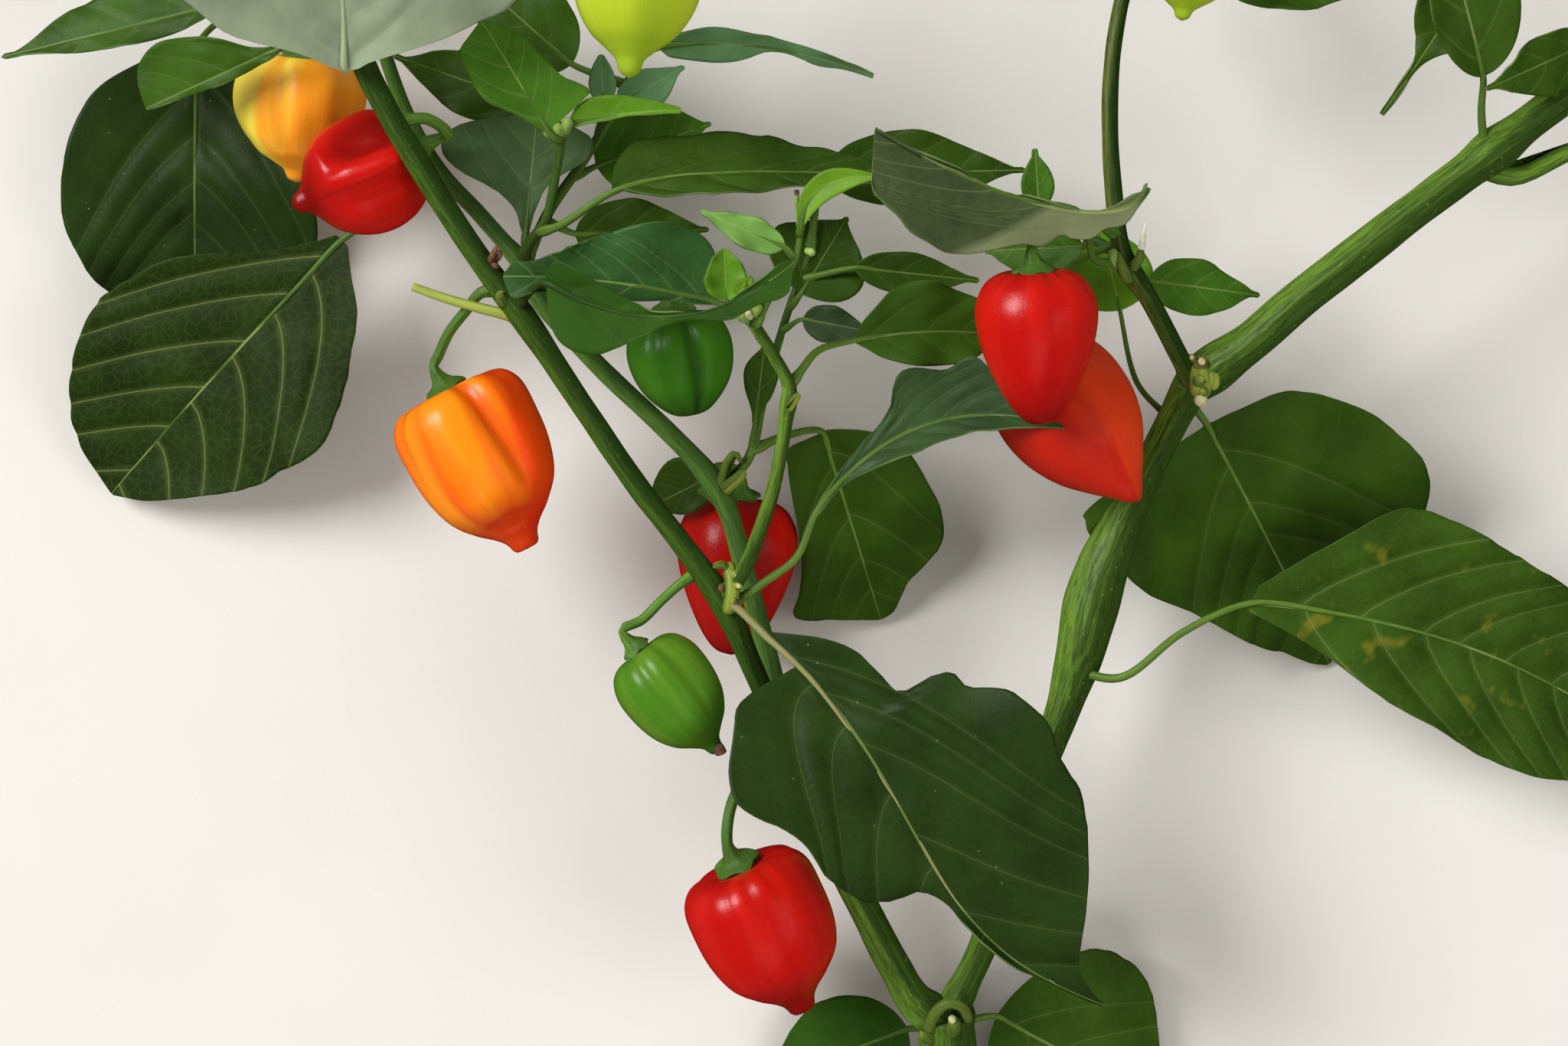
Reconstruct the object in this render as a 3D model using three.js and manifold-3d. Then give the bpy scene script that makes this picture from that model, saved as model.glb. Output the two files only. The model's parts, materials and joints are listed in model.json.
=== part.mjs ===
// A fruiting branch of a chilli pepper plant, cut below its fork and laid down.
// Two boughs rise from the cut stem, with broad leaves and eleven lantern-shaped pods.
//
// Units are millimetres. +Z points up from the surface that the branch lies on, +Y from the
// cut end towards the tips. Places are written as they look from a viewpoint high above the
// branch: x, y and the height above the surface. place() turns them into true positions.
import * as THREE from "three";
import { mergeVertices } from "three/addons/utils/BufferGeometryUtils.js";
import Module from "manifold-3d";

// Driving dimensions
const VIEW_HEIGHT = 870; // from the middle level to the viewpoint
const MIDDLE_LEVEL = 60; // height at which a place looks true to scale
const CENTRE = { x: 25.3, y: 0.7 }; // middle of the branch's outline, moved to the origin
const CLEARANCE = 0.3; // between pieces that touch on the real plant
const BLADE_SHARE = 0.0115; // a blade's thickness as a share of its length
const BLADE_MIN = 0.9; // thinnest blade
const TIP_HALF = 0.6; // half the width that a blade keeps at its tip
const PETIOLE = { root: 1.3, end: 0.8, reach: 0.14 }; // its radii, and how far it runs under the blade
const PEDICEL = { root: 1.5, neck: 1.35 }; // fruit stalk radii
const CALYX = { radius: 5.2, depth: 5.5, rim: 1.2 }; // the green cap on a pod's crown
const GROOVE = { fresh: 0.09, wrinkled: 0.16 }; // depth between a pod's lobes, as a share of its radius
const DENT = 0.06; // depth of an old pod's dents, as a share of its radius
const LIMB_STEP = 17; // length of a straight stretch of a limb
const PETIOLE_STEP = 14;
const PEDICEL_STEP = 6;
const LOWEST_LEAF = 4; // height that the drooping leaves at a shoot's end keep
const GOLDEN_ANGLE = THREE.MathUtils.degToRad(137.5); // from one leaf to the next round a shoot

const GREEN = { stem: "#4f7a2c", leaf: "#2f5a22", young: "#5f8f2c", pale: "#7d9a72", stalk: "#5d9038" };

const wasm = await Module();
wasm.setup();

function place([x, y, z]) {
  const spread = 1 - (z - MIDDLE_LEVEL) / VIEW_HEIGHT;
  return new THREE.Vector3(x * spread - CENTRE.x, y * spread - CENTRE.y, z);
}

const mix = THREE.MathUtils.lerp;
const smooth = THREE.MathUtils.smoothstep;
const radians = THREE.MathUtils.degToRad;

// A repeatable draw from 0 to 1.
function drawer(seed) {
  let state = seed;
  return () => {
    state = (state * 16807) % 2147483647;
    return state / 2147483647;
  };
}

// The closed solid of a geometry, with the vertices that faces share joined.
function solidOf(geometry) {
  const bare = new THREE.BufferGeometry();
  bare.setAttribute("position", geometry.getAttribute("position"));
  bare.setIndex(geometry.index);
  const joined = mergeVertices(bare, 1e-4);
  return new wasm.Manifold(
    new wasm.Mesh({
      numProp: 3,
      vertProperties: new Float32Array(joined.attributes.position.array),
      triVerts: new Uint32Array(joined.index.array),
    }),
  );
}

// Moves every vertex of a geometry by a rule that takes and returns a Vector3.
function bend(geometry, rule) {
  const position = geometry.getAttribute("position");
  const vertex = new THREE.Vector3();
  for (let i = 0; i < position.count; i++) {
    vertex.fromBufferAttribute(position, i);
    const moved = rule(vertex);
    position.setXYZ(i, moved.x, moved.y, moved.z);
  }
  return geometry;
}

// A tapering tube with closed ends along a curve: a cylinder bent to the curve's frames.
function tube(curve, radiusAt, sides, steps) {
  const { normals, binormals } = curve.computeFrenetFrames(steps, false);
  return bend(new THREE.CylinderGeometry(1, 1, 1, sides, steps), ({ x, y, z }) => {
    const step = Math.round((y + 0.5) * steps);
    const radius = radiusAt(step / steps);
    return curve
      .getPointAt(step / steps)
      .addScaledVector(normals[step], x * radius)
      .addScaledVector(binormals[step], -z * radius);
  });
}

function curveThrough(points) {
  return new THREE.CatmullRomCurve3(points, false, "centripetal");
}

// The nearest point of a curve's line to a point.
function nearestOn(curve, point) {
  const line = curve.getSpacedPoints(120);
  return line.reduce((best, p) => (p.distanceTo(point) < best.distanceTo(point) ? p : best));
}

// Limbs: the places that each runs through, its radii at foot and tip, and swellings along it
// as [share of its length, added radius, share of its length that it spreads over].
const LIMBS = {
  main_stem: {
    via: [[43, -158, 8.6], [40, -138, 13], [38, -115, 24]], radii: [8.2, 6.6], joints: [[1, 0.6]],
  },
  left_bough: {
    on: "main_stem", via: [[38, -116, 24], [22.7, -99, 30], [13, -82, 36], [1, -52, 46]],
    radii: [4.9, 4.2], joints: [],
  },
  right_bough: {
    on: "main_stem", clear: ["left_bough"],
    via: [
      [39, -115, 24], [47, -99, 29], [57, -68, 34], [68, -36, 38], [75, -10, 40], [85.7, 13, 42],
      [96, 33, 52],
    ],
    radii: [4.3, 3.9], joints: [[0.62, 2.2, 0.2], [0.45, 0.6], [1, 0.6]],
  },
  left_front_stem: {
    on: "left_bough",
    via: [
      [1, -54, 46], [-5, -37, 55], [-13, -16.6, 62], [-40, 14, 66], [-66, 51, 68], [-83.5, 81.5, 71],
      [-98, 107, 75], [-106, 128, 80],
    ],
    radii: [3.5, 3.1], joints: [[0.2, 0.7], [0.58, 0.5]],
  },
  back_stem: {
    on: "left_bough", clear: ["left_front_stem"],
    via: [
      [3, -58, 44], [-2, -38, 38], [-9, -12, 38.5], [-15.7, 8, 39], [-46, 39.5, 40], [-58.5, 54, 43],
      [-62, 63, 46],
    ],
    radii: [3.4, 2.8], joints: [[0.5, 0.5]],
  },
  back_stem_upper: {
    on: "back_stem",
    via: [[-61.5, 61, 46], [-71, 72, 44], [-81, 83, 42], [-89, 97, 42], [-98, 124, 49], [-101, 134, 53]],
    radii: [2.2, 1.6], joints: [],
  },
  right_outer_bough: {
    on: "right_bough",
    via: [[96, 33, 53], [111, 45, 58], [133, 64.5, 61], [163, 87.5, 61], [184, 102, 59], [202, 112, 56]],
    radii: [5.0, 3.8], joints: [[0.66, 0.9]],
  },
  right_top_twig: {
    on: "right_bough", clear: ["right_outer_bough"],
    via: [
      [96, 33, 54], [92, 41, 63], [85.7, 53, 69], [80, 62, 72], [77.5, 78, 74], [76.7, 103, 76],
      [79, 121, 77], [82, 131, 77],
    ],
    radii: [2.9, 2.0], joints: [[0.33, 0.6]],
  },
  centre_twig: {
    on: "left_front_stem",
    via: [
      [-12, -15, 63], [-8, -8, 69], [-2.5, 8, 73], [0.7, 25.7, 75], [1.2, 32, 76], [-2.5, 39.5, 77],
      [-7, 46.5, 78],
    ],
    radii: [2.3, 1.6], joints: [[0.72, 0.5]],
  },
  top_twig: {
    on: "left_front_stem",
    via: [[-105, 125, 79], [-94, 140, 88], [-72, 151, 94], [-50, 157, 96]],
    radii: [2.0, 1.5], joints: [],
  },
};

function limbCurve(limb) {
  return (limb.curve ??= curveThrough(limb.via.map(place)));
}

// A limb's radius at a share of its length: an even taper with smooth swellings at its joints.
function limbRadius(limb, share) {
  const swelling = (limb.joints ?? []).reduce(
    (sum, [at, added, spread = 0.045]) => sum + added * Math.exp(-(((share - at) / spread) ** 2)),
    0,
  );
  return mix(limb.radii[0], limb.radii[1], share) + swelling;
}

function limbTube(limb, grown = 0) {
  const curve = limbCurve(limb);
  const steps = Math.max(4, Math.round(curve.getLength() / LIMB_STEP));
  return tube(curve, (share) => limbRadius(limb, share) + grown, limb.radii[0] > 2.1 ? 8 : 6, steps);
}

// A leaf's value for one side: 0 is the left of the midrib and 1 the right, when it has both.
function sided(value, side, usual) {
  return Array.isArray(value) ? value[side] : (value ?? usual);
}

// A leaf's half width at a share of its length: ovate, widest at the share the leaf tells, with
// a drawn-out tip unless it is blunt. A low breadth exponent makes the base broad.
function halfWidth(leaf, share, side) {
  const power = Math.log(0.5) / Math.log(sided(leaf.widest, side, 0.38));
  const exponent = mix(sided(leaf.breadth, side, 0.75), leaf.blunt ? 0.7 : 1.35, smooth(share, 0.3, 1));
  const swell = Math.sin(Math.PI * Math.min(1, Math.max(0, share)) ** power) ** exponent;
  return Math.max(TIP_HALF, leaf.half[side] * swell);
}

// The directions to a leaf's left and out of its upper face, square to its chord.
function leafAxes(leaf) {
  const along = place(leaf.tip).sub(place(leaf.base)).normalize();
  const up = new THREE.Vector3(0, 0, 1).addScaledVector(along, -along.z).normalize();
  up.applyAxisAngle(along, radians(leaf.roll ?? 0));
  return { up, left: new THREE.Vector3().crossVectors(up, along) };
}

// A point of the blade's middle surface. share runs from base to tip, across from -1 at the
// right margin to 1 at the left one.
function bladePoint(leaf, axes, share, across) {
  const hump = 4 * share * (1 - share);
  const side = Math.abs(across);
  const half = side * halfWidth(leaf, share, across > 0 ? 0 : 1);
  const tilt = radians(sided(leaf.fold, across > 0 ? 0 : 1, 12));
  const waves = Math.sin(5 * Math.PI * share + (across > 0 ? 0.6 : 2.4));
  const rise = half * Math.sin(tilt) + (leaf.wave ?? 1.2) * side * side * waves * hump;
  const point = place(leaf.base).lerp(place(leaf.tip), share);
  point.addScaledVector(axes.up, (leaf.arch ?? 0) * hump + rise);
  const out = (leaf.bow ?? 0) * hump + Math.sign(across) * half * Math.cos(tilt);
  return point.addScaledVector(axes.left, out);
}

// A blade as a closed shell: a flat grid bent to its surface and thickened along its normal.
function blade(leaf) {
  const axes = leafAxes(leaf);
  const length = place(leaf.base).distanceTo(place(leaf.tip));
  const rows = length > 55 ? 8 : length > 30 ? 5 : 4;
  const columns = Math.max(...leaf.half) > 12 ? 4 : 2;
  const thick = Math.max(BLADE_MIN, BLADE_SHARE * length);
  const step = 0.01; // of the blade, over which its slope is taken
  return bend(new THREE.BoxGeometry(1, 1, 1, rows, columns, 1), ({ x, y, z }) => {
    const share = 0.5 + 0.5 * Math.sin(Math.PI * x); // rows closer together at base and tip
    const across = 2 * y;
    const along = bladePoint(leaf, axes, Math.min(1, share + step), across);
    along.sub(bladePoint(leaf, axes, Math.max(0, share - step), across));
    const inner = bladePoint(leaf, axes, share, Math.max(-1, across - step));
    const sideways = bladePoint(leaf, axes, share, Math.min(1, across + step)).sub(inner);
    const normal = along.cross(sideways).normalize();
    return bladePoint(leaf, axes, share, across).addScaledVector(normal, z * thick);
  });
}

// A leaf with its petiole, which runs from the middle of what carries it to under the blade.
function leafSolid(leaf, carrier, sides) {
  const axes = leafAxes(leaf);
  const base = place(leaf.base);
  const root = nearestOn(carrier, leaf.root ? place(leaf.root) : base);
  const end = bladePoint(leaf, axes, leaf.joins ?? PETIOLE.reach, 0);
  const bends = (leaf.via ?? []).map(place);
  const thin = Math.min(1, 0.45 + place(leaf.tip).distanceTo(base) / 60);
  const path = curveThrough(leaf.joins ? [root, ...bends, end] : [root, ...bends, base, end]);
  const steps = Math.max(3, Math.round(path.getLength() / PETIOLE_STEP));
  const petiole = tube(path, (share) => thin * mix(PETIOLE.root, PETIOLE.end, share), sides, steps);
  return solidOf(blade(leaf)).add(solidOf(petiole));
}

// The single leaves, each on the limb that carries it. half is the widths left and right of the
// midrib, roll turns the blade about its chord, fold lifts its sides, arch and bow bend the midrib
// up and left, and joins is the share of the blade where a petiole meets it from below.
const LEAVES = {
  leaf_front_large: {
    on: "left_front_stem", root: [-13.5, -17, 62], via: [[-11, -20, 68], [-6, -24.5, 71]],
    base: [0, -30, 73],
    tip: [74, -113.5, 60], half: [36, 31], widest: [0.46, 0.2], breadth: [1.1, 0.4], arch: 10,
    fold: 5, wave: 2.5,
  },
  leaf_left_large: {
    on: "back_stem_upper", root: [-82, 84, 52], via: [[-92, 74, 33]], base: [-104, 66.5, 31],
    tip: [-158, 7, 5], half: [27, 35], blunt: true, widest: [0.42, 0.6], arch: 5, fold: 8, wave: 1.5,
    color: "young",
  },
  leaf_left_back: {
    on: "back_stem_upper", root: [-98, 124, 59], via: [[-120, 124, 40]], base: [-138, 112, 15],
    tip: [-138, 44, 1.5], half: [25, 33], arch: 4, fold: 8, wave: 1,
  },
  leaf_top_pale: {
    on: "left_front_stem", root: [-100, 112, 76], base: [-104, 107.5, 84], tip: [-107, 166, 116],
    half: [37, 40], widest: 0.32, arch: -5, fold: 5, wave: 2, color: "pale",
  },
  leaf_centre_large: {
    on: "tip_shoot", root: [-55, 70, 55], via: [[-50, 71, 60]], base: [-40, 76, 63], tip: [24, 81, 60],
    half: [13, 10], roll: -38, arch: 5, fold: 8, wave: 1.2, bow: 1,
  },
  leaf_grey_right: {
    on: "right_top_twig", root: [79.5, 61, 73], via: [[73, 62, 80]], joins: 0.22, base: [85.5, 79, 88],
    tip: [21.4, 92.5, 96], half: [17, 4], bow: 8.5, fold: [20, 40], wave: 1, widest: 0.62, color: "pale",
  },
  leaf_right_of_centre: {
    on: "centre_twig", root: [1.2, 32, 76], via: [[6, 38, 72]], base: [13, 42, 66], tip: [52, 44, 56],
    half: [15, 9], arch: 2, fold: 12,
  },
  leaf_dark_centre: {
    on: "left_front_stem", root: [-11, -18, 62], via: [[-4, -13.5, 66], [3, -8, 69]],
    base: [7.6, 2.7, 70],
    tip: [65.7, 22.6, 74], half: [13, 4], bow: 11, arch: -3, fold: [6, 40], widest: 0.58,
    breadth: 0.6, wave: 1,
  },
  leaf_back_centre: {
    on: "back_shoot", root: [-7, 17, 39], via: [[-2, 16, 36]], base: [6, 12, 28], tip: [24, -23, 3],
    half: [25, 12], widest: [0.34, 0.4], breadth: [0.5, 0.75], arch: 3, fold: 6, blunt: true,
  },
  leaf_base_left: {
    on: "main_stem", root: [38, -118, 21], base: [29, -119, 13], tip: [-6, -131, 3.5],
    half: [15, 14], arch: 2, fold: 4, wave: 0.8,
  },
  leaf_base_right: {
    on: "main_stem", root: [39, -118, 21], base: [50, -116, 13], tip: [91, -137, 1.5],
    half: [28, 22], arch: 3, fold: 5, wave: 1,
  },
  leaf_right_back: {
    on: "right_bough", root: [93, 28, 55], base: [99.5, 23, 41], tip: [128, -33, 1.5],
    half: [39, 37], widest: [0.45, 0.22], breadth: [0.45, 0.32], arch: 4, fold: 5, wave: 1.2,
    blunt: true,
  },
  leaf_behind_pods: {
    on: "right_bough", root: [91, 25, 46], via: [[83, 33, 41]], base: [79, 50, 44], tip: [74, 71, 46],
    half: [11, 10], fold: 8,
  },
  leaf_right_large: {
    on: "right_bough", root: [70, -34, 44], via: [[80, -35, 46], [94, -24, 47]], base: [110, -18.5, 45],
    tip: [205, -56, 3], half: [29, 23], widest: [0.35, 0.58], bow: 9, arch: 8, fold: 6, wave: 2,
  },
  leaf_front_low: {
    on: "left_front_stem", root: [-60, 43, 67], via: [[-56, 49, 76]], base: [-52, 58, 84],
    tip: [2, 61, 97],
    half: [3.5, 19], bow: -10, arch: 0, fold: [10, 2], widest: 0.22, wave: 1,
  },
  leaf_curled_mid: {
    on: "centre_twig", root: [-4, 42, 77], via: [[-9, 48, 72]], base: [-16, 52, 71], tip: [-66, 58, 77],
    half: [5, 13], arch: 2, fold: [8, 15], wave: 1,
  },
  leaf_grey_back: {
    on: "tip_shoot", root: [-61, 65, 48], base: [-60.8, 73, 49], tip: [-58, 96, 44],
    half: [17, 15], arch: 1, fold: 4, color: "pale",
  },
  leaf_under_centre: {
    on: "upper_shoot", root: [-56, 72, 44], base: [-49, 68, 39], tip: [-17.5, 69, 33], half: [8, 9],
    fold: 5,
  },
  leaf_corner: {
    on: "right_outer_bough", root: [163, 88, 61], via: [[164, 97, 67]], base: [164.5, 105, 72],
    tip: [152, 148, 82],
    half: [12, 12], fold: 10, arch: 3,
  },
};

// Leafy shoots: a twig on a limb, and the leaves along it. Leaves that aren't listed grow by
// the spiral rule in spiralLeaves.
const SHOOTS = {
  tip_shoot: {
    on: "back_stem", clear: ["back_stem_upper"],
    via: [[-62, 62, 46], [-59, 67, 51], [-56, 71, 55], [-54, 80, 59], [-52, 91, 63]], radii: [2.0, 1.1],
    leaves: [
      {
        root: [-52, 90, 63], base: [-53.5, 93, 65], tip: [-75, 117, 72], half: [10, 15], blunt: true,
        fold: 6, wave: 0.8,
      },
      {
        root: [-52, 90, 63], base: [-51, 93.5, 65], tip: [-24, 96.5, 68], half: [4, 4], fold: 25,
        wave: 0.3,
      },
    ],
  },
  back_shoot: {
    on: "back_stem",
    via: [[-15.5, 8, 39], [-8.5, 15, 40], [-5, 29, 41], [1, 50, 43], [7, 66, 45]], radii: [2.0, 1.1],
    leaves: [
      {
        root: [-6, 24, 40], base: [-3.5, 30, 44], tip: [-6.5, 44, 50], half: [4, 4], fold: 10,
        wave: 0.3,
      },
      { root: [1, 50, 43], base: [4, 54, 46], tip: [15, 72, 42], half: [14, 12], fold: 6, wave: 0.8 },
      { root: [6, 63, 45], base: [10, 82, 46], tip: [57, 83, 40], half: [10, 8], fold: 6 },
      { root: [4, 57, 44], base: [17, 60, 48], tip: [46, 57, 45], half: [5, 5], fold: 8, wave: 0.5 },
      { root: [0, 45, 42], base: [7, 42, 50], tip: [19, 48, 54], half: [5, 4], fold: 8, wave: 0.3 },
    ],
  },
  upper_shoot: {
    on: "back_stem", clear: ["back_stem_upper", "tip_shoot"],
    via: [[-61, 60, 44], [-56, 72, 41], [-46, 87, 40], [-37, 103, 40], [-31, 121, 42]],
    radii: [1.8, 1.1],
    leaves: [
      { root: [-50, 81, 40], base: [-44, 84, 38], tip: [-17, 94, 32], half: [12, 11], fold: 5 },
      {
        root: [-41, 96, 40], base: [-41, 98, 46], tip: [-43, 109, 52], half: [4, 4], fold: 20,
        wave: 0.3,
      },
      {
        root: [-39, 99, 40], base: [-37, 99, 44], tip: [-25, 105, 46], half: [5, 5], fold: 5,
        wave: 0.3,
      },
      {
        root: [-34, 111, 41], base: [-29, 112, 42], tip: [21, 105, 34], half: [9, 7], roll: 35,
        fold: 10, bow: 3,
      },
    ],
  },
  centre_tip_shoot: {
    on: "centre_twig",
    via: [[-7, 46, 78], [-3.6, 53, 80], [2.5, 62, 82], [3.8, 69, 83]], radii: [1.5, 0.9],
    leaves: [
      {
        root: [3.8, 67.5, 83], base: [4, 70, 85], tip: [25, 81, 91], half: [3.4, 3.4], bow: 5,
        fold: 12, wave: 0.2,
      },
      {
        root: [2.5, 62, 82], base: [0, 65, 84], tip: [-20, 73, 86], half: [4.5, 4.5], fold: 15,
        wave: 0.5,
      },
      {
        root: [-4, 52, 80], base: [-10, 54, 83], tip: [-17.5, 64, 84], half: [3.4, 3.4], fold: 20,
        wave: 0.5,
      },
      { root: [-4, 52, 80], base: [-8, 56, 83], tip: [-9, 65, 87], half: [3, 3], fold: 20, wave: 0.5 },
    ],
  },
  side_leaves: {
    on: "right_top_twig",
    via: [[80.5, 61, 72], [77, 64, 68], [72, 67, 64], [66, 69, 61]], radii: [1.5, 1.0],
    leaves: [
      { root: [78, 63, 69], base: [86, 57, 58], tip: [112, 53.5, 50], half: [6.5, 7], fold: 4 },
      { root: [72, 67, 64], base: [70, 65, 60], tip: [47, 64, 52], half: [8, 6], fold: 8 },
      { root: [66, 69, 61], base: [60, 74, 60], tip: [59, 88, 62], half: [4, 4], fold: 12, wave: 0.3 },
    ],
  },
  left_end_shoot: {
    on: "back_stem_upper",
    via: [[-100.7, 133, 52.7], [-109, 141, 56], [-120, 147, 52]], radii: [1.6, 1.1],
    spiral: { count: 2, length: 36, seed: 7 },
    leaves: [
      {
        root: [-109, 141, 56], base: [-133, 122, 46], tip: [-184, 109.5, 38], half: [10, 9], roll: 15,
        fold: 8,
      },
      { root: [-104, 136, 54], base: [-117, 112, 58], tip: [-151, 101, 52], half: [8, 8], fold: 14 },
      { root: [-119, 146, 53], base: [-124, 149, 44], tip: [-134, 156, 1], half: [13, 13], fold: 8 },
    ],
  },
  right_end_shoot: {
    on: "right_top_twig",
    via: [[81.5, 129, 77], [84, 138, 76], [92, 150, 70]], radii: [1.8, 1.1],
    spiral: { count: 3, length: 40, seed: 23 },
    leaves: [
      { root: [82, 131, 77], base: [101, 127, 74], tip: [147, 127, 64], half: [11, 9], fold: 5 },
      { root: [91, 149, 70], base: [95, 152, 56], tip: [101, 156, 1], half: [14, 14], fold: 8 },
    ],
  },
  outer_end_shoot: {
    on: "right_outer_bough",
    via: [[200, 111, 56], [208, 115, 54], [216, 122, 50]], radii: [2.2, 1.2],
    spiral: { count: 2, length: 44, seed: 41 },
    leaves: [
      {
        root: [203, 112, 56], base: [190, 113, 66], tip: [165, 102, 74], half: [8, 7], roll: -20,
        fold: 10,
      },
    ],
  },
};

// Leaves that spiral round a shoot, shorter towards its tip, and lean out and down from it.
function spiralLeaves(curve, { count, length, seed }) {
  const draw = drawer(seed);
  const frames = curve.computeFrenetFrames(Math.max(1, count), false);
  return Array.from({ length: count }, (_, i) => {
    const share = (i + 0.8) / count;
    const turn = i * GOLDEN_ANGLE + draw() * 0.6;
    const out = frames.normals[i].clone().multiplyScalar(Math.cos(turn));
    out.addScaledVector(frames.binormals[i], Math.sin(turn));
    out.addScaledVector(frames.tangents[i], 0.7 + 0.6 * share).normalize();
    const reach = length * (1 - 0.35 * share) * (0.85 + 0.3 * draw());
    return { share, out, reach, width: reach * (0.26 + 0.05 * draw()) };
  });
}

// A true position written as the place that looks the same.
function seen(point) {
  const spread = 1 - (point.z - MIDDLE_LEVEL) / VIEW_HEIGHT;
  return [(point.x + CENTRE.x) / spread, (point.y + CENTRE.y) / spread, point.z];
}

function shootLeaves(shoot) {
  const curve = limbCurve(shoot);
  const grown = spiralLeaves(curve, shoot.spiral ?? { count: 0, length: 0, seed: 1 }).map((leaf) => {
    const root = curve.getPointAt(Math.min(1, leaf.share));
    const base = root.clone().addScaledVector(leaf.out, 0.25 * leaf.reach);
    const tip = root.clone().addScaledVector(leaf.out, leaf.reach);
    tip.z = Math.max(LOWEST_LEAF, tip.z - 0.25 * leaf.reach);
    const [near, far] = [seen(base), seen(tip)];
    return { root: seen(root), base: near, tip: far, half: [leaf.width, leaf.width], fold: 10, wave: 0.8 };
  });
  return [...shoot.leaves, ...grown];
}

// Pods: crown and tip, the greatest radius, how many lobes and how they are turned, and the limb
// that the stalk grows from.
const PODS = {
  orange: {
    crown: [-78.5, 32, 60], tip: [-61, -6, 62], radius: 18.8, lobes: 4, turn: 0.5, color: "#f0680e",
    on: "left_front_stem", root: [-69, 54, 69], via: [[-74, 53, 67], [-79, 48, 64]],
  },
  red_low: {
    crown: [-11, -79, 43], tip: [4.5, -115, 40], radius: 18, lobes: 4, turn: 0.2, color: "#d01208",
    on: "left_bough", root: [2.5, -56, 44], via: [[-7, -58, 47], [-12, -65, 46]],
  },
  green_low: {
    crown: [-34, -31, 60], tip: [-14, -54, 62], radius: 13, lobes: 4, turn: 0.9, color: "#5c9a2a",
    on: "left_front_stem", root: [-19, -11, 63], via: [[-26, -15.5, 62], [-33, -21, 61]],
  },
  red_tall: {
    crown: [58.5, 59.5, 82], tip: [60.5, 23, 92], radius: 14.3, lobes: 3, turn: 0.3, shape: "taper",
    color: "#d8140a", on: "right_top_twig", root: [78.5, 70, 73], via: [[72, 75, 72], [62, 73.5, 78]],
  },
  red_pointed: {
    crown: [62, 41, 56], tip: [83.5, 5, 65], radius: 15.5, lobes: 3, turn: 1.2, shape: "pointed",
    color: "#dc2408", on: "right_top_twig", root: [82, 58, 71], via: [[75, 60, 62], [65, 53, 57]],
  },
  dark_green: {
    crown: [-26, 48.5, 50], tip: [-23.5, 25.5, 47], radius: 12.8, lobes: 4, turn: 0.1, shape: "blunt",
    color: "#2c6a16", on: "back_stem", root: [-47, 41, 40], via: [[-45, 50, 46], [-33, 55, 51]],
  },
  red_behind: {
    crown: [-11, 5, 19], tip: [-12.5, -31, 16], radius: 15.2, lobes: 3, turn: 0.6, shape: "taper",
    color: "#cf160e", on: "back_stem", root: [-14, 4, 39], via: [[-20, 9, 30], [-15, 13, 22]],
  },
  red_wrinkled: {
    crown: [-88, 85.5, 55], tip: [-116.5, 74.5, 60], radius: 14.6, lobes: 3, turn: 1.0,
    wrinkled: true, color: "#d4160e",
    on: "left_front_stem", root: [-91, 94, 73], via: [[-84, 95, 65], [-79, 91, 57]],
  },
  yellow: {
    crown: [-112, 109, 34], tip: [-114, 80, 29], radius: 15.2, lobes: 3, turn: 0.4, wrinkled: true,
    color: "#e8a818", on: "back_stem_upper", root: [-96, 118, 58], via: [[-104, 120, 52], [-110, 117, 43]],
  },
  light_green_top: {
    crown: [-34, 146, 90], tip: [-36.5, 104.5, 90], radius: 15, lobes: 3, turn: 0.8, color: "#98b820",
    on: "top_twig", root: [-51, 157, 96], via: [[-41, 157, 95]],
  },
  light_green_small: {
    crown: [97, 142, 88], tip: [93.5, 117, 86], radius: 10, lobes: 3, turn: 0.2, color: "#8cb41e",
    on: "right_end_shoot", root: [84, 138, 76], via: [[88, 146, 84], [94, 149, 88]],
  },
};

// Half outlines of a pod, from the middle of its crown to its tip, as [share of the greatest
// radius, share of the length].
const POD_OUTLINES = {
  lantern: [
    [0, 0], [0.3, 0], [0.52, -0.02], [0.82, 0.05], [0.99, 0.2], [1, 0.4], [0.9, 0.58], [0.66, 0.74],
    [0.36, 0.84], [0.2, 0.9], [0.15, 0.96], [0, 1],
  ],
  taper: [
    [0, 0], [0.3, 0], [0.55, -0.01], [0.85, 0.07], [1, 0.22], [0.97, 0.4], [0.84, 0.58], [0.64, 0.76],
    [0.44, 0.89], [0.24, 0.97], [0, 1],
  ],
  pointed: [
    [0, 0], [0.3, 0], [0.55, -0.01], [0.85, 0.09], [1, 0.28], [0.97, 0.46], [0.8, 0.64], [0.52, 0.79],
    [0.27, 0.9], [0.12, 0.97], [0, 1],
  ],
  blunt: [
    [0, 0], [0.32, 0], [0.55, -0.01], [0.85, 0.07], [1, 0.28], [1, 0.5], [0.9, 0.72], [0.68, 0.89],
    [0.4, 0.98], [0.15, 0.97], [0, 0.95],
  ],
};

function podOutline(pod) {
  return curveThrough(POD_OUTLINES[pod.shape ?? "lantern"].map(([r, a]) => new THREE.Vector3(r, a, 0)));
}

// Axes of a pod: from crown to tip, and two across it.
function podAxes(pod) {
  const down = place(pod.tip).sub(place(pod.crown)).normalize();
  const side = new THREE.Vector3(0, 0, 1).addScaledVector(down, -down.z).normalize();
  return { down, side, other: new THREE.Vector3().crossVectors(down, side) };
}

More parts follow.
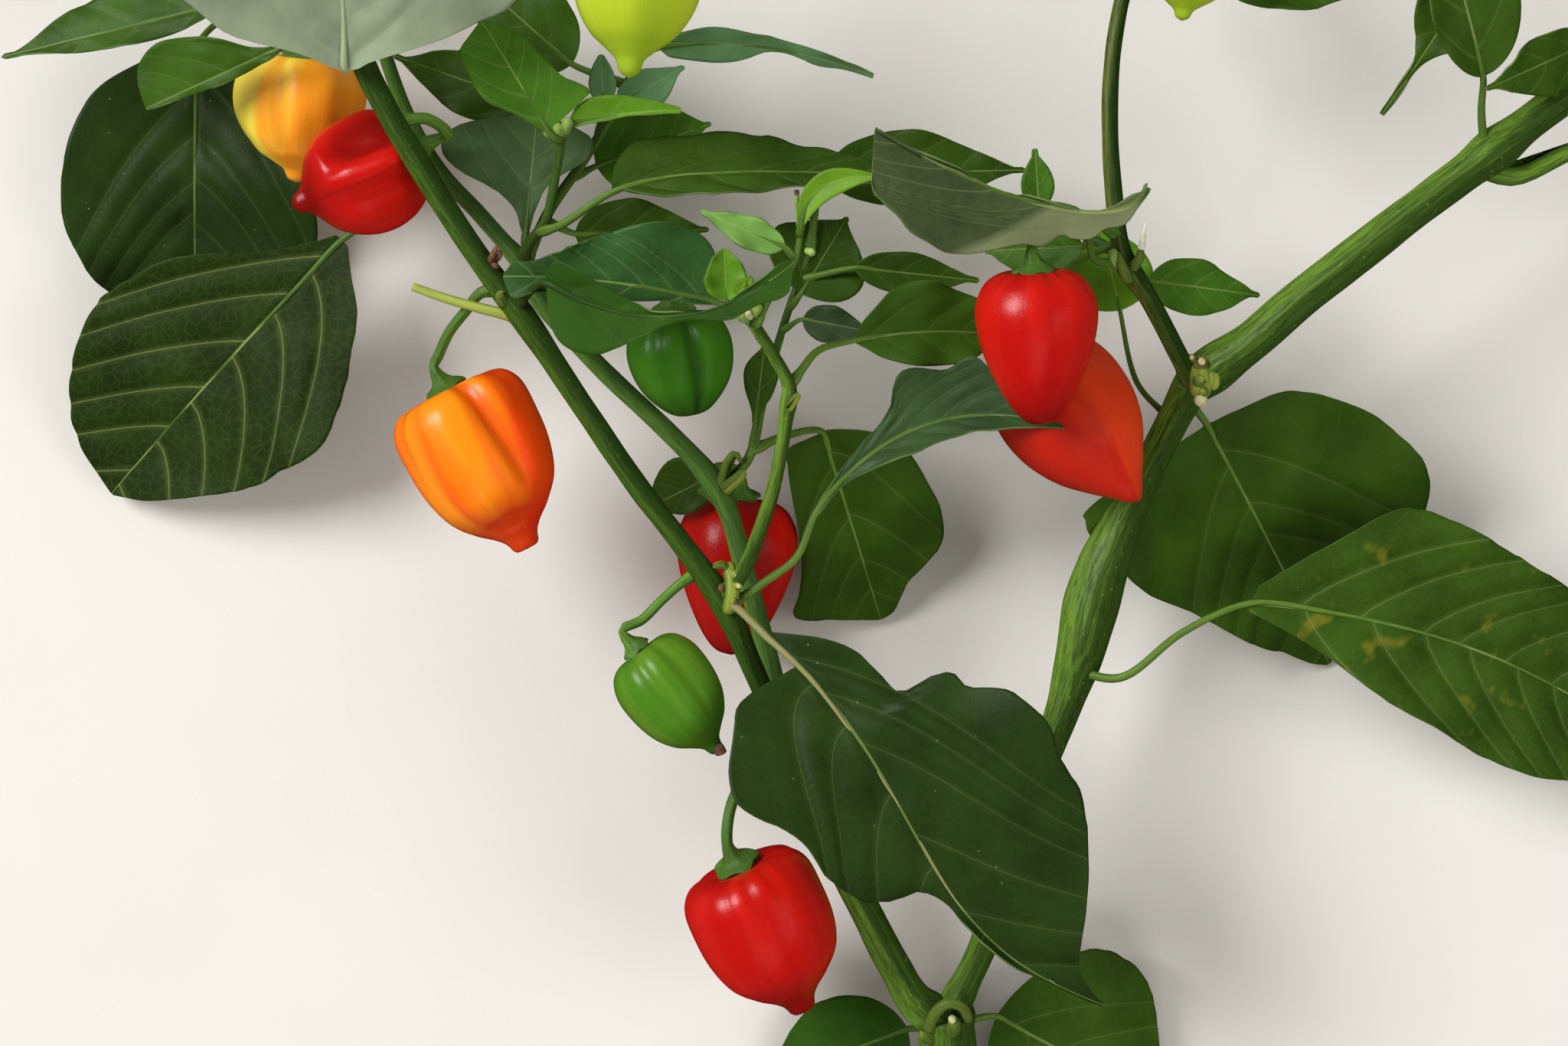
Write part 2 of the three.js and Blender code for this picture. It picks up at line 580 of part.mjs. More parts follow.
// A pod: a ball bent to its outline, with grooves between its lobes and, on an old pod, dents.
function podBody(pod) {
  const { down, side, other } = podAxes(pod);
  const crown = place(pod.crown);
  const length = crown.distanceTo(place(pod.tip));
  const profile = podOutline(pod);
  const groove = pod.wrinkled ? GROOVE.wrinkled : GROOVE.fresh;
  return bend(new THREE.SphereGeometry(1, 15, 10), ({ x, y, z }) => {
    const row = Math.acos(THREE.MathUtils.clamp(y, -1, 1)) / Math.PI;
    const spot = profile.getPointAt(row);
    const angle = Math.hypot(x, z) < 1e-6 ? 0 : Math.atan2(z, x);
    const between = Math.abs(Math.cos((pod.lobes * angle) / 2 + pod.turn)) ** 5;
    const dents = pod.wrinkled ? DENT * Math.sin(3 * angle + 9 * row) * Math.sin(Math.PI * row) : 0;
    const shrink = 1 - groove * between * Math.sin(Math.PI * Math.min(1, row * 1.15)) ** 0.7 + dents;
    const radius = pod.radius * spot.x * shrink;
    return crown
      .clone()
      .addScaledVector(down, spot.y * length)
      .addScaledVector(side, radius * Math.cos(angle))
      .addScaledVector(other, radius * Math.sin(angle));
  });
}

// A pod's stalk: the pedicel from the limb, flaring into the calyx just clear of the crown.
function stalkTube(pod, carrier) {
  const { down } = podAxes(pod);
  const crown = place(pod.crown).addScaledVector(down, -(CLEARANCE + 0.03 * pod.radius));
  const neck = crown.clone().addScaledVector(down, -CALYX.depth);
  const root = nearestOn(carrier, place(pod.root));
  const path = curveThrough([root, ...pod.via.map(place), neck, crown]);
  const size = Math.min(1, pod.radius / 15);
  const length = path.getLength();
  const rim = CALYX.radius * size;
  const flare = (left) => {
    if (left < CALYX.rim) return rim;
    if (left < CALYX.depth) return mix(0.8 * rim, PEDICEL.neck, (left / CALYX.depth) ** 0.5);
    return mix(PEDICEL.neck, PEDICEL.root, left / length);
  };
  const steps = Math.max(6, Math.round(length / PEDICEL_STEP));
  return tube(path, (share) => flare(length * (1 - share)), 6, steps);
}

// Cuts a solid clear of the named limbs, and drops the loose scraps that leaves.
function cutClear(solid, names, pieces) {
  const cut = names.reduce((rest, name) => rest.subtract(pieces[name].grown), solid);
  return cut.decompose().reduce((best, part) => (part.volume() > best.volume() ? part : best));
}

const branch = new THREE.Group();
branch.name = "chilli_branch";

function addPiece(name, solid, color, roughness = 0.5) {
  const { numProp, vertProperties, triVerts } = solid.getMesh();
  const geometry = new THREE.BufferGeometry();
  geometry.setAttribute("position", new THREE.BufferAttribute(new Float32Array(vertProperties), numProp));
  geometry.setIndex(new THREE.BufferAttribute(new Uint32Array(triVerts), 1));
  geometry.computeVertexNormals();
  const mesh = new THREE.Mesh(geometry, new THREE.MeshStandardMaterial({ color, roughness, metalness: 0 }));
  mesh.name = name;
  branch.add(mesh);
}

// The stub of a leaf stalk whose blade has dropped, beside the orange pod's stalk.
const BROKEN_PETIOLE = { via: [[-67, 49.5, 68], [-74, 48.5, 68.5], [-87.5, 55.5, 68]], radii: [1.7, 1.2] };

const pieces = {};
for (const [name, limb] of Object.entries({ ...LIMBS, ...SHOOTS })) {
  let solid = solidOf(limbTube(limb));
  if (name === "left_front_stem") solid = solid.add(solidOf(limbTube(BROKEN_PETIOLE)));
  for (const leaf of limb.leaves ? shootLeaves(limb) : []) {
    solid = solid.add(leafSolid(leaf, limbCurve(limb), 4));
  }
  const others = [limb.on, ...(limb.clear ?? [])].filter(Boolean);
  pieces[name] = { grown: solidOf(limbTube(limb, CLEARANCE)), curve: limbCurve(limb) };
  addPiece(name, cutClear(solid, others, pieces), limb.leaves ? GREEN.young : GREEN.stem);
}

for (const [name, leaf] of Object.entries(LEAVES)) {
  const solid = leafSolid(leaf, pieces[leaf.on].curve, 5);
  addPiece(name, cutClear(solid, [leaf.on], pieces), GREEN[leaf.color ?? "leaf"]);
}

for (const [name, pod] of Object.entries(PODS)) {
  const stalk = solidOf(stalkTube(pod, pieces[pod.on].curve));
  addPiece(`stalk_${name}`, cutClear(stalk, [pod.on], pieces), GREEN.stalk);
  addPiece(`pod_${name}`, solidOf(podBody(pod)), pod.color, 0.25);
}

export default branch;
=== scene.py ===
"""Looks of a cut, fruiting branch of a chilli pepper plant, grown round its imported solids.

The branch lies on a pale floor and the camera looks straight down on it. Each solid of the CAD
model is replaced by a finer mesh grown by the same rule: limbs with ribs, leaves with veins, pods
with lobes. Tables are in millimetres. Their places are written as they look from the viewpoint,
as in the CAD source, and place() turns them into true positions.
"""

import json
import math
from bisect import bisect_right

import bmesh
import bpy
from bpy.props import FloatProperty, FloatVectorProperty, PointerProperty
from bpy.types import Operator, Panel, PropertyGroup
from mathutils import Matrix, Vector, noise


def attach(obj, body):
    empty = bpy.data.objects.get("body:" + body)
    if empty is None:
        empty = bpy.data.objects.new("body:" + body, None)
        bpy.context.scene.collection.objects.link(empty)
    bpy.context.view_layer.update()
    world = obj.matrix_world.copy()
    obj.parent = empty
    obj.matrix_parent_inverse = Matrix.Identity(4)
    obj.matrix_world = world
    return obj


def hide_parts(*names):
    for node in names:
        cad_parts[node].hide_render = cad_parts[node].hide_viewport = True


bl_info = {
    "name": "Chilli pepper branch",
    "version": (1, 0, 0),
    "blender": (4, 5, 0),
    "location": "3D View > Sidebar > Chilli branch",
    "description": "Stems, leaves and pods of a cut chilli pepper branch, round its CAD solids",
    "category": "Add Mesh",
}

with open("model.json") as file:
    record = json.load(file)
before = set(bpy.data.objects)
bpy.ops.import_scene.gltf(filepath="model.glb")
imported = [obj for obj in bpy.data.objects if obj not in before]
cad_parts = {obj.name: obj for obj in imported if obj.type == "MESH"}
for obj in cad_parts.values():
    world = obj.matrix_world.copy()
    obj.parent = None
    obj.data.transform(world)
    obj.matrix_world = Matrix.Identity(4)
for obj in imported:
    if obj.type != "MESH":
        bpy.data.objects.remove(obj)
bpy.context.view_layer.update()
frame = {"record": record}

MM = 0.001  # the tables are in millimetres, Blender in metres

# The viewpoint, by the same rule as the CAD source's
VIEW_HEIGHT = 870  # from the middle level to the viewpoint
VIEW_WIDTH = 368.64  # width of the camera's picture at the middle level
MIDDLE_LEVEL = 60  # height at which a place looks true to scale
CENTRE = (25.3, 0.7)  # middle of the branch's outline
SENSOR = 36  # width of the camera's sensor

# Limbs
RIBS = 5
COLLAR = 0.22  # height of the collar at a limb's foot as a share of its radius
JOINT_SPREAD = 0.045  # share of a limb's length that a joint's swelling takes
THICK_LIMB = 3  # radius over which a limb gets more sides
# How many sides each kind of tube has, and how long its faces are
TUBES = dict(
    thick_limb=(44, 1.5), limb=(28, 1.5), twig=(20, 1.2), broken_petiole=(16, 1.2), petiole=(12, 1.6)
)
GROWTH_FACES = 14  # round a small growth and along it

# Leaves: what a blade has where its row says nothing. A pair holds for its left and right side.
USUAL_BLADE = dict(
    widest=0.38, breadth=0.75, blunt=False, lobe=0, fold=12, wave=1.2, arch=0, bow=0, bend=1,
    sway=0, roll=0, lean=0.7, curl=0.8, quilt=1,
)
BLUNT, POINTED = 0.7, 1.35  # how fast a blade without an outline narrows to its tip
TIP_HALF = 0.6  # half the width that a blade keeps at its tip
# Unevenness of a blade's margin: its size as a share of the half width, its length and its layer
RAGS = ((0.045, 14, 0), (0.02, 3.5, 5))
RAGGED = 0.3  # how much of it a measured outline gets
VEIN_GAP = 0.18  # share of a blade's length before its first side vein and after its last
VEIN_SPACING = 16  # between the side veins of a blade whose row doesn't place them
# A large leaf's petiole: its radii, and the share of the blade that it reaches under
PETIOLE = dict(root=1.3, end=0.8, reach=0.14)
LOWEST_LEAF = 4  # level under which no leaf of a spiral hangs
GOLDEN_ANGLE = math.radians(137.5)
SHOOT_SEED = 30  # the first shoot's seed
LEAF_SEED_STEP = 0.37  # from one of a shoot's leaves to the next

# Fruit: what a pod has where its row says nothing is in USUAL_POD
PEDICEL = 1.5  # a fruit stalk's radius
STALK_SIDES = 40
STALK_STEP = 1.4  # length of a fruit stalk's faces
TEETH = 5  # of a calyx, and ribs of its stalk
CALYX = dict(radius=5.2, depth=5.5)
CLEARANCE = 0.3  # between a calyx and its pod
GROOVE = dict(fresh=0.09, wrinkled=0.16)  # depth of a pod's grooves as a share of its radius

USUAL_POD = dict(
    shape="lantern", lobes=3, tilt=0, grooves=1, wrinkled=False, creases=(), dents=(), calyx=1,
    slim=0.9, face=14,
)

# Surfaces
WAX_IOR = 1.45
LEAF_PATTERN = dict(patch=18, net=2.6, speck=4.5, blotch=11, grain=0.7)  # sizes across
LEAF_BACK = "#6e7452"
DUST = "#6f7d66"
YELLOWED = "#7d7a1e"
PORE = 0.6  # size of a pod's pores

# The stage, in metres and watts
FLOOR_SIZE = 2.0  # half the floor's side
SKY = ("#f6f0e2", 0.3)  # colour and strength
# Name, place, size and power of each soft lamp
LAMPS = (
    ("key_lamp", (-1.6, 0.9, 1.85), 1.4, 66),
    ("fill_lamp", (1.3, -0.3, 1.4), 1.2, 11),
    ("back_lamp", (0.1, -1.2, 1.2), 1.0, 6),
)

# Limbs: the places that each runs through, its radii at foot and tip, and swellings along it:
# the share of the length, the height and the spread of each
LIMBS = dict(
    main_stem=dict(
        via=((43, -158, 8.6), (40, -138, 13), (38, -115, 24)), radii=(8.2, 6.6), joints=((1, 0.6),),
    ),
    left_bough=dict(
        via=(
            (38, -117, 24), (31.5, -112.8, 26), (25.3, -102.7, 29.5), (19.4, -91.4, 33.5),
            (14.6, -82, 37), (1, -52, 46),
        ),
        radii=(4.2, 3.2),
    ),
    right_bough=dict(
        via=(
            (39, -115, 24), (47, -99, 29), (57, -68, 34), (68, -36, 38), (75, -10, 40), (85.7, 13, 42),
            (96, 33, 52),
        ),
        radii=(3.3, 3.9), joints=((0.61, 2.3, 0.11), (0.7, 1.3, 0.1), (1, 0.6)),
    ),
    left_front_stem=dict(
        via=(
            (1, -54, 46), (-6.8, -35, 56), (-15, -17.5, 62), (-23.2, -5.9, 64), (-34.7, 8.9, 65.5),
            (-45.9, 25.4, 66.5), (-60.7, 47.5, 68), (-71.3, 61.7, 69), (-84.4, 81.8, 71),
            (-97.8, 105.8, 75), (-106, 128, 80),
        ),
        radii=(2.45, 2.85), joints=((0.2, 0.6), (0.58, 0.5)), skin="stem_deep_skin",
    ),
    back_stem=dict(
        via=(
            (3, -58, 44), (-2, -38, 38), (-9, -12, 38.5), (-15.7, 8, 39), (-46, 39.5, 40),
            (-58.5, 54, 43), (-62, 63, 46),
        ),
        radii=(2.5, 2.2), joints=((0.5, 0.5),), skin="stem_soft_skin",
    ),
    back_stem_upper=dict(
        via=(
            (-61.5, 61, 46), (-71, 72, 44), (-81, 83, 42), (-89, 97, 42), (-98, 124, 49),
            (-101, 134, 53),
        ),
        radii=(2.0, 1.5), skin="stem_soft_skin",
    ),
    right_outer_bough=dict(
        via=(
            (96, 33, 53), (110.5, 43.1, 58), (122, 53.1, 60), (133, 61.6, 61), (148, 73.3, 61),
            (164, 85.5, 61), (184, 100.5, 59), (202, 112, 56),
        ),
        radii=(4.7, 4.0), joints=((0.67, 1.0),),
    ),
    right_top_twig=dict(
        via=(
            (96, 33, 54), (92, 41, 63), (85.7, 53, 69), (80, 62, 72), (77.5, 78, 74), (76.7, 103, 76),
            (79, 121, 77), (82, 131, 77),
        ),
        radii=(2.25, 1.75), joints=((0.33, 0.6),), skin="stem_flushed_skin",
    ),
    centre_twig=dict(
        via=(
            (-14.5, -17.5, 62.5), (-9.6, -11.5, 67), (-6.4, -4, 70), (-2.5, 8, 73), (0.7, 25.7, 75),
            (1.2, 32, 76), (-2.5, 39.5, 77), (-7, 46.5, 78),
        ),
        radii=(1.8, 1.4), joints=((0.72, 0.5),),
    ),
    top_twig=dict(
        via=((-105, 125, 79), (-94, 140, 88), (-72, 151, 94), (-50, 157, 96)), radii=(2.0, 1.5),
    ),
)

# Leaves. on and root tell where the petiole leaves its limb, and via what it runs through. base
# and tip are the blade's ends and half its widths on the left and right, which edge tells at
# shares of the length. bow, bend and sway curve the blade sideways, arch lifts its middle, fold
# and roll turn it and wave ruffles it. laterals tells where its side veins start, and lean and
# curl how they run. lobe draws a side's base back, quilt puffs the blade up, ragged roughens its
# margin, and joins tells where under the blade the petiole meets it.
LEAVES = dict(
    leaf_front_large=dict(
        on="left_front_stem", root=(-13.5, -17, 62), via=((-11, -20, 67),), base=(-4.9, -25.9, 71),
        tip=(75.3, -113.3, 60), half=(40, 31), skin="leaf_dark_skin", petiole="petiole_brown_skin",
        bow=-6.3, bend=1.4, sway=3.3, lobe=(0, 0.55), arch=10, fold=(4, 12), wave=2.5, ragged=0.5,
        laterals=((0.064, 0.158, 0.277, 0.479, 0.66, 0.82), (0.137, 0.236, 0.391, 0.55, 0.72)),
        lean=(1.4, 0.1), curl=(0.7, 1.9),
        edge=((
            (0.014, 2), (0.047, 5.3), (0.083, 8.6), (0.136, 11.9), (0.18, 12.8), (0.212, 13.2),
            (0.253, 13.9), (0.264, 16.1), (0.27, 19), (0.277, 23), (0.287, 25.6), (0.301, 27.1),
            (0.333, 27.9), (0.358, 31.5), (0.383, 35), (0.432, 38.3), (0.468, 40), (0.497, 40.5),
            (0.53, 39.6), (0.563, 38.7), (0.628, 38.2), (0.693, 35), (0.738, 30.6), (0.796, 23.1),
            (0.843, 15.9), (0.889, 8.2), (0.921, 4.9), (0.947, 3), (0.976, 1.2),
        ), (
            (0.04, 0.5), (0.09, 0.9), (0.1, 4.9), (0.11, 10.1), (0.123, 14.8), (0.138, 18.1),
            (0.16, 20.7), (0.193, 25.5), (0.219, 29.4), (0.249, 31.4), (0.278, 29.7), (0.306, 26.5),
            (0.337, 24.2), (0.374, 23.5), (0.414, 23.2), (0.462, 21.5), (0.501, 19.1), (0.53, 15.9),
            (0.55, 12.1), (0.566, 7.9), (0.591, 4.6), (0.627, 2.4), (0.675, 1.7), (0.768, 1.2),
            (0.9, 0.8),
        )),
    ),
    leaf_left_large=dict(
        on="back_stem_upper", root=(-82, 84, 52), via=((-92, 74, 33),), base=(-104, 66.5, 31),
        tip=(-158, 7, 5), half=(27, 35), skin="leaf_soft_skin", arch=5, fold=8, wave=1.5, ragged=1.1,
        laterals=((0.12, 0.27, 0.44, 0.62, 0.78), (0.06, 0.2, 0.38, 0.56, 0.72)), lean=(0.3, 1.0),
        curl=(0.9, 0.5),
        edge=((
            (0.04, 7), (0.1, 15), (0.184, 20.5), (0.259, 25.3), (0.347, 29.8), (0.434, 31.5),
            (0.556, 28.5), (0.65, 25.5), (0.79, 18), (0.92, 9),
        ), (
            (0.08, 6), (0.18, 13), (0.32, 25), (0.45, 31), (0.58, 33.8), (0.72, 30), (0.86, 23),
            (0.95, 14.5),
        )),
    ),
    leaf_left_back=dict(
        on="back_stem_upper", root=(-98, 124, 59), via=((-120, 124, 40),), base=(-138, 112, 15),
        tip=(-138, 44, 1.5), half=(31, 33), skin="leaf_dark_skin", arch=4, fold=8, wave=1,
        edge=((
            (0.05, 12), (0.2, 24), (0.4, 29), (0.64, 31), (0.8, 26), (0.93, 13),
        ), (
            (0.05, 13), (0.14, 23.5), (0.254, 29), (0.374, 31.5), (0.5, 32.6), (0.616, 32), (0.73, 28),
            (0.797, 25.4), (0.9, 17), (0.97, 8),
        )),
    ),
    leaf_top_pale=dict(
        on="left_front_stem", root=(-100, 112, 76), base=(-103.3, 106.4, 84), tip=(-107, 166, 116),
        half=(37, 40), skin="leaf_grey_skin", petiole="petiole_pale_skin", arch=-5, fold=5, wave=2,
        laterals=((0.04, 0.2, 0.4, 0.6), (0.04, 0.18, 0.38, 0.6)), lean=0.5,
        edge=((
            (0.009, 2.5), (0.072, 11), (0.138, 25), (0.205, 31.5), (0.296, 38), (0.4, 40.5), (0.6, 37),
            (0.8, 24), (0.95, 8),
        ), (
            (0.006, 2.9), (0.033, 6.1), (0.111, 21), (0.153, 27), (0.202, 32.5), (0.239, 37),
            (0.35, 41), (0.6, 37), (0.8, 24), (0.95, 8),
        )),
    ),
    leaf_centre_large=dict(
        on="tip_shoot", root=(-57, 67, 53), via=((-52.5, 70, 58),), base=(-40.3, 78, 63),
        tip=(24, 81, 60), half=(13, 10), bow=2.2, bend=0.5, arch=3, fold=8, wave=1, roll=-38,
        laterals=((0.02, 0.1, 0.19, 0.53), (0.1, 0.35, 0.6)), lean=(1.2, 1), curl=(4.8, 1.5),
        edge=((
            (0.004, 5), (0.045, 9.3), (0.098, 12), (0.151, 11.8), (0.218, 12.3), (0.285, 11.7),
            (0.375, 11.6), (0.466, 10.5), (0.538, 9.8), (0.584, 10.8), (0.631, 10.2), (0.702, 8.4),
            (0.777, 6.9), (0.852, 5.7), (0.933, 4.5),
        ), (
            (0.03, 1), (0.1, 4), (0.2, 7), (0.35, 7.8), (0.5, 6.7), (0.586, 5.7), (0.698, 5),
            (0.838, 3.8), (0.94, 2),
        )),
    ),
    leaf_grey_right=dict(
        on="right_top_twig", root=(79.5, 61, 73), via=((73, 62, 80),), base=(85.5, 79, 88),
        tip=(21.4, 92.5, 96), half=(17, 4), skin="leaf_turned_skin", joins=0.22, bow=9, bend=0.6,
        fold=(20, 40), wave=1.6, laterals=((0.2, 0.25, 0.3, 0.36), (0.2, 0.5, 0.8)), lean=(1.7, 1),
        curl=(1.9, 1),
        edge=((
            (0.02, 1.2), (0.058, 4), (0.129, 4.2), (0.168, 6.5), (0.247, 6.7), (0.278, 5.8), (0.295, 7),
            (0.335, 9.8), (0.412, 10.6), (0.482, 12.8), (0.547, 15.4), (0.617, 18), (0.686, 19.5),
            (0.76, 19.4), (0.827, 19.2), (0.878, 17.1), (0.943, 15.5), (0.985, 12.5),
        ), (
            (0.05, 3), (0.1, 1.8), (0.166, 0.7), (0.5, 0.5), (0.9, 0.5),
        )),
    ),
    leaf_right_of_centre=dict(
        on="centre_twig", root=(1.4, 32, 76), via=((4.5, 36.5, 73), (8, 40.5, 70)), base=(16.9, 43, 66),
        tip=(52, 44, 56), half=(12, 9), skin="leaf_mid_skin", bow=1.4, arch=2, fold=12, lean=(0.9, 0.9),
        edge=((
            (0.028, 3.3), (0.119, 6.7), (0.256, 11.1), (0.452, 12), (0.665, 9.8), (0.837, 7.2),
            (0.938, 4),
        ), (
            (0.06, 2.4), (0.161, 5.3), (0.38, 8.1), (0.652, 7.8), (0.792, 5.6), (0.933, 2),
        )),
    ),
    leaf_dark_centre=dict(
        on="left_front_stem", root=(-11, -18, 62), via=((-4, -13.5, 66), (3, -8, 69)),
        base=(7.6, 2.7, 70), tip=(65.7, 22.6, 74), half=(13, 5), skin="leaf_bloom_skin", bow=11,
        arch=-3, fold=(6, 40), wave=1, laterals=((0.12, 0.2, 0.3, 0.42, 0.56), (0.15, 0.3, 0.45, 0.6)),
        lean=(1.7, 1.4), curl=(0.6, 0.8),
        edge=((
            (0.09, 0.9), (0.155, 2.1), (0.237, 3.5), (0.312, 4.2), (0.373, 5.9), (0.412, 8.2),
            (0.44, 11.6), (0.484, 13.4), (0.531, 13.3), (0.627, 11.5), (0.672, 11.9), (0.722, 14.2),
            (0.778, 14), (0.813, 10), (0.85, 5), (0.9, 1.5),
        ), (
            (0.04, 0.6), (0.114, 1.4), (0.218, 3.1), (0.317, 4.8), (0.382, 5.7), (0.443, 6.7),
            (0.508, 6.2), (0.604, 5.7), (0.667, 4.5), (0.762, 4.2), (0.874, 3.2),
        )),
    ),
    leaf_back_centre=dict(
        on="back_shoot", root=(-7, 17, 39), via=((-1, 20, 37),), base=(9.2, 21.2, 29),
        tip=(22.7, -22.5, 3), half=(22, 17), lobe=(0.3, 0), arch=3, fold=6,
        edge=((
            (0.03, 4.5), (0.09, 10), (0.18, 16.5), (0.281, 19.6), (0.37, 20.9), (0.484, 21.9),
            (0.644, 21.2), (0.698, 19.4), (0.754, 15.4), (0.825, 9.5), (0.9, 6.5), (0.978, 3.5),
        ), (
            (0.005, 8.6), (0.1, 10.8), (0.177, 11.6), (0.4, 13), (0.568, 14.7), (0.686, 17.3),
            (0.801, 20.5), (0.87, 17), (0.923, 10),
        )),
    ),
    leaf_base_left=dict(
        on="main_stem", root=(38, -118, 21), base=(29, -119, 13), tip=(-6, -131, 3.5), half=(15, 14),
        skin="leaf_plain_skin", arch=2, fold=4, wave=0.8,
    ),
    leaf_base_right=dict(
        on="main_stem", root=(39, -118, 21), base=(50, -116, 13), tip=(91, -137, 1.5), half=(28, 22),
        arch=3, fold=5, wave=1,
    ),
    leaf_right_back=dict(
        on="right_bough", root=(93, 28, 55), base=(99.5, 23, 41), tip=(128, -33, 1.5), half=(42, 38),
        arch=4, fold=5, wave=1.2,
        edge=((
            (0.013, 17.5), (0.05, 24), (0.1, 28.6), (0.236, 36.4), (0.353, 40.2), (0.469, 42.2),
            (0.624, 38), (0.8, 25), (0.9, 13.5), (0.965, 4),
        ), (
            (0.008, 32), (0.04, 37), (0.131, 37.5), (0.25, 35.2), (0.366, 32), (0.467, 27.4),
            (0.6, 21.6), (0.757, 14.6), (0.883, 8), (0.96, 4),
        )),
    ),
    leaf_behind_pods=dict(
        on="right_bough", root=(91, 25, 46), via=((83, 33, 41),), base=(79, 50, 44), tip=(74, 71, 46),
        half=(11, 10), skin="leaf_young_skin", fold=8,
    ),
    leaf_right_large=dict(
        on="right_bough", root=(70, -35.5, 44), via=((79.5, -36.2, 46), (93.5, -25.8, 47)),
        base=(110, -18.8, 45), tip=(205, -56, 3), half=(29, 23), skin="leaf_yellowing_skin", bow=9,
        arch=8, fold=6, wave=2, ragged=0.6,
        edge=((
            (0.08, 15), (0.22, 28.7), (0.45, 24.7), (0.66, 22), (0.85, 12),
        ), (
            (0.1, 7), (0.32, 18), (0.5, 22.5), (0.63, 23.6), (0.82, 16.8), (0.93, 9),
        )),
    ),
    leaf_front_low=dict(
        on="left_front_stem", root=(-62.5, 50.5, 68.5), via=((-60.5, 53.5, 74.5), (-58, 55.8, 80)),
        base=(-56, 56.5, 84), tip=(2, 61, 97), half=(6, 12), skin="leaf_plain_skin",
        petiole="petiole_dark_skin", bow=-10, fold=(10, 2), wave=1,
        edge=((
            (0.05, 6.5), (0.14, 7), (0.27, 5), (0.356, 3), (0.445, 1), (0.7, 0.7), (0.88, 1.2),
            (0.96, 2.1),
        ), (
            (0.007, 9), (0.064, 12.5), (0.192, 11), (0.249, 9), (0.345, 5.2), (0.422, 2.8),
            (0.516, 1.7), (0.628, 1.9), (0.739, 3.2), (0.855, 3.7), (0.978, 5.4),
        )),
    ),
    leaf_curled_mid=dict(
        on="centre_twig", root=(-4, 42, 77), via=((-9, 48, 72),), base=(-16, 52, 71), tip=(-66, 58, 77),
        half=(5, 15), skin="leaf_glossy_skin", bow=-1.5, arch=2, fold=(8, 15), wave=1.6, quilt=1.8,
        laterals=((0.15, 0.4, 0.65), (0.08, 0.2, 0.34, 0.5, 0.68)), lean=(1, 0.9), curl=(0.5, 1.2),
        edge=((
            (0.1, 1.5), (0.35, 3.5), (0.6, 4), (0.85, 3.6), (0.95, 5),
        ), (
            (0.02, 9), (0.067, 13.1), (0.147, 15.2), (0.271, 15.8), (0.439, 13.8), (0.583, 10.6),
            (0.769, 5.5), (0.891, 3.6), (0.96, 3.5),
        )),
    ),
    leaf_grey_back=dict(
        on="tip_shoot", root=(-61, 65, 48), base=(-60.8, 67, 49), tip=(-58, 96, 44), half=(22, 15),
        skin="leaf_dull_skin", arch=1, fold=4,
        edge=((
            (0.05, 0.8), (0.22, 3.3), (0.35, 8.1), (0.45, 15.7), (0.57, 20.5), (0.69, 22), (0.85, 18),
            (0.95, 9),
        ), (
            (0.05, 0.8), (0.22, 1.8), (0.4, 3.5), (0.52, 6.7), (0.6, 11), (0.7, 14), (0.85, 13),
            (0.95, 7),
        )),
    ),
    leaf_under_centre=dict(
        on="upper_shoot", root=(-56, 72, 44), base=(-49, 68, 39), tip=(-17.5, 69, 33), half=(8, 9),
        fold=5,
    ),
    leaf_corner=dict(
        on="right_outer_bough", root=(163, 88, 61), via=((164, 97, 67),), base=(164.5, 105, 72),
        tip=(152, 148, 82), half=(8.5, 12), arch=3, fold=10,
    ),
)

# Outline of a blade whose sides close over it
CUPPED_EDGE = ((0.1, 6), (0.3, 9), (0.45, 7), (0.55, 3.6), (0.63, 1.4), (0.7, 0.8), (0.9, 0.5))

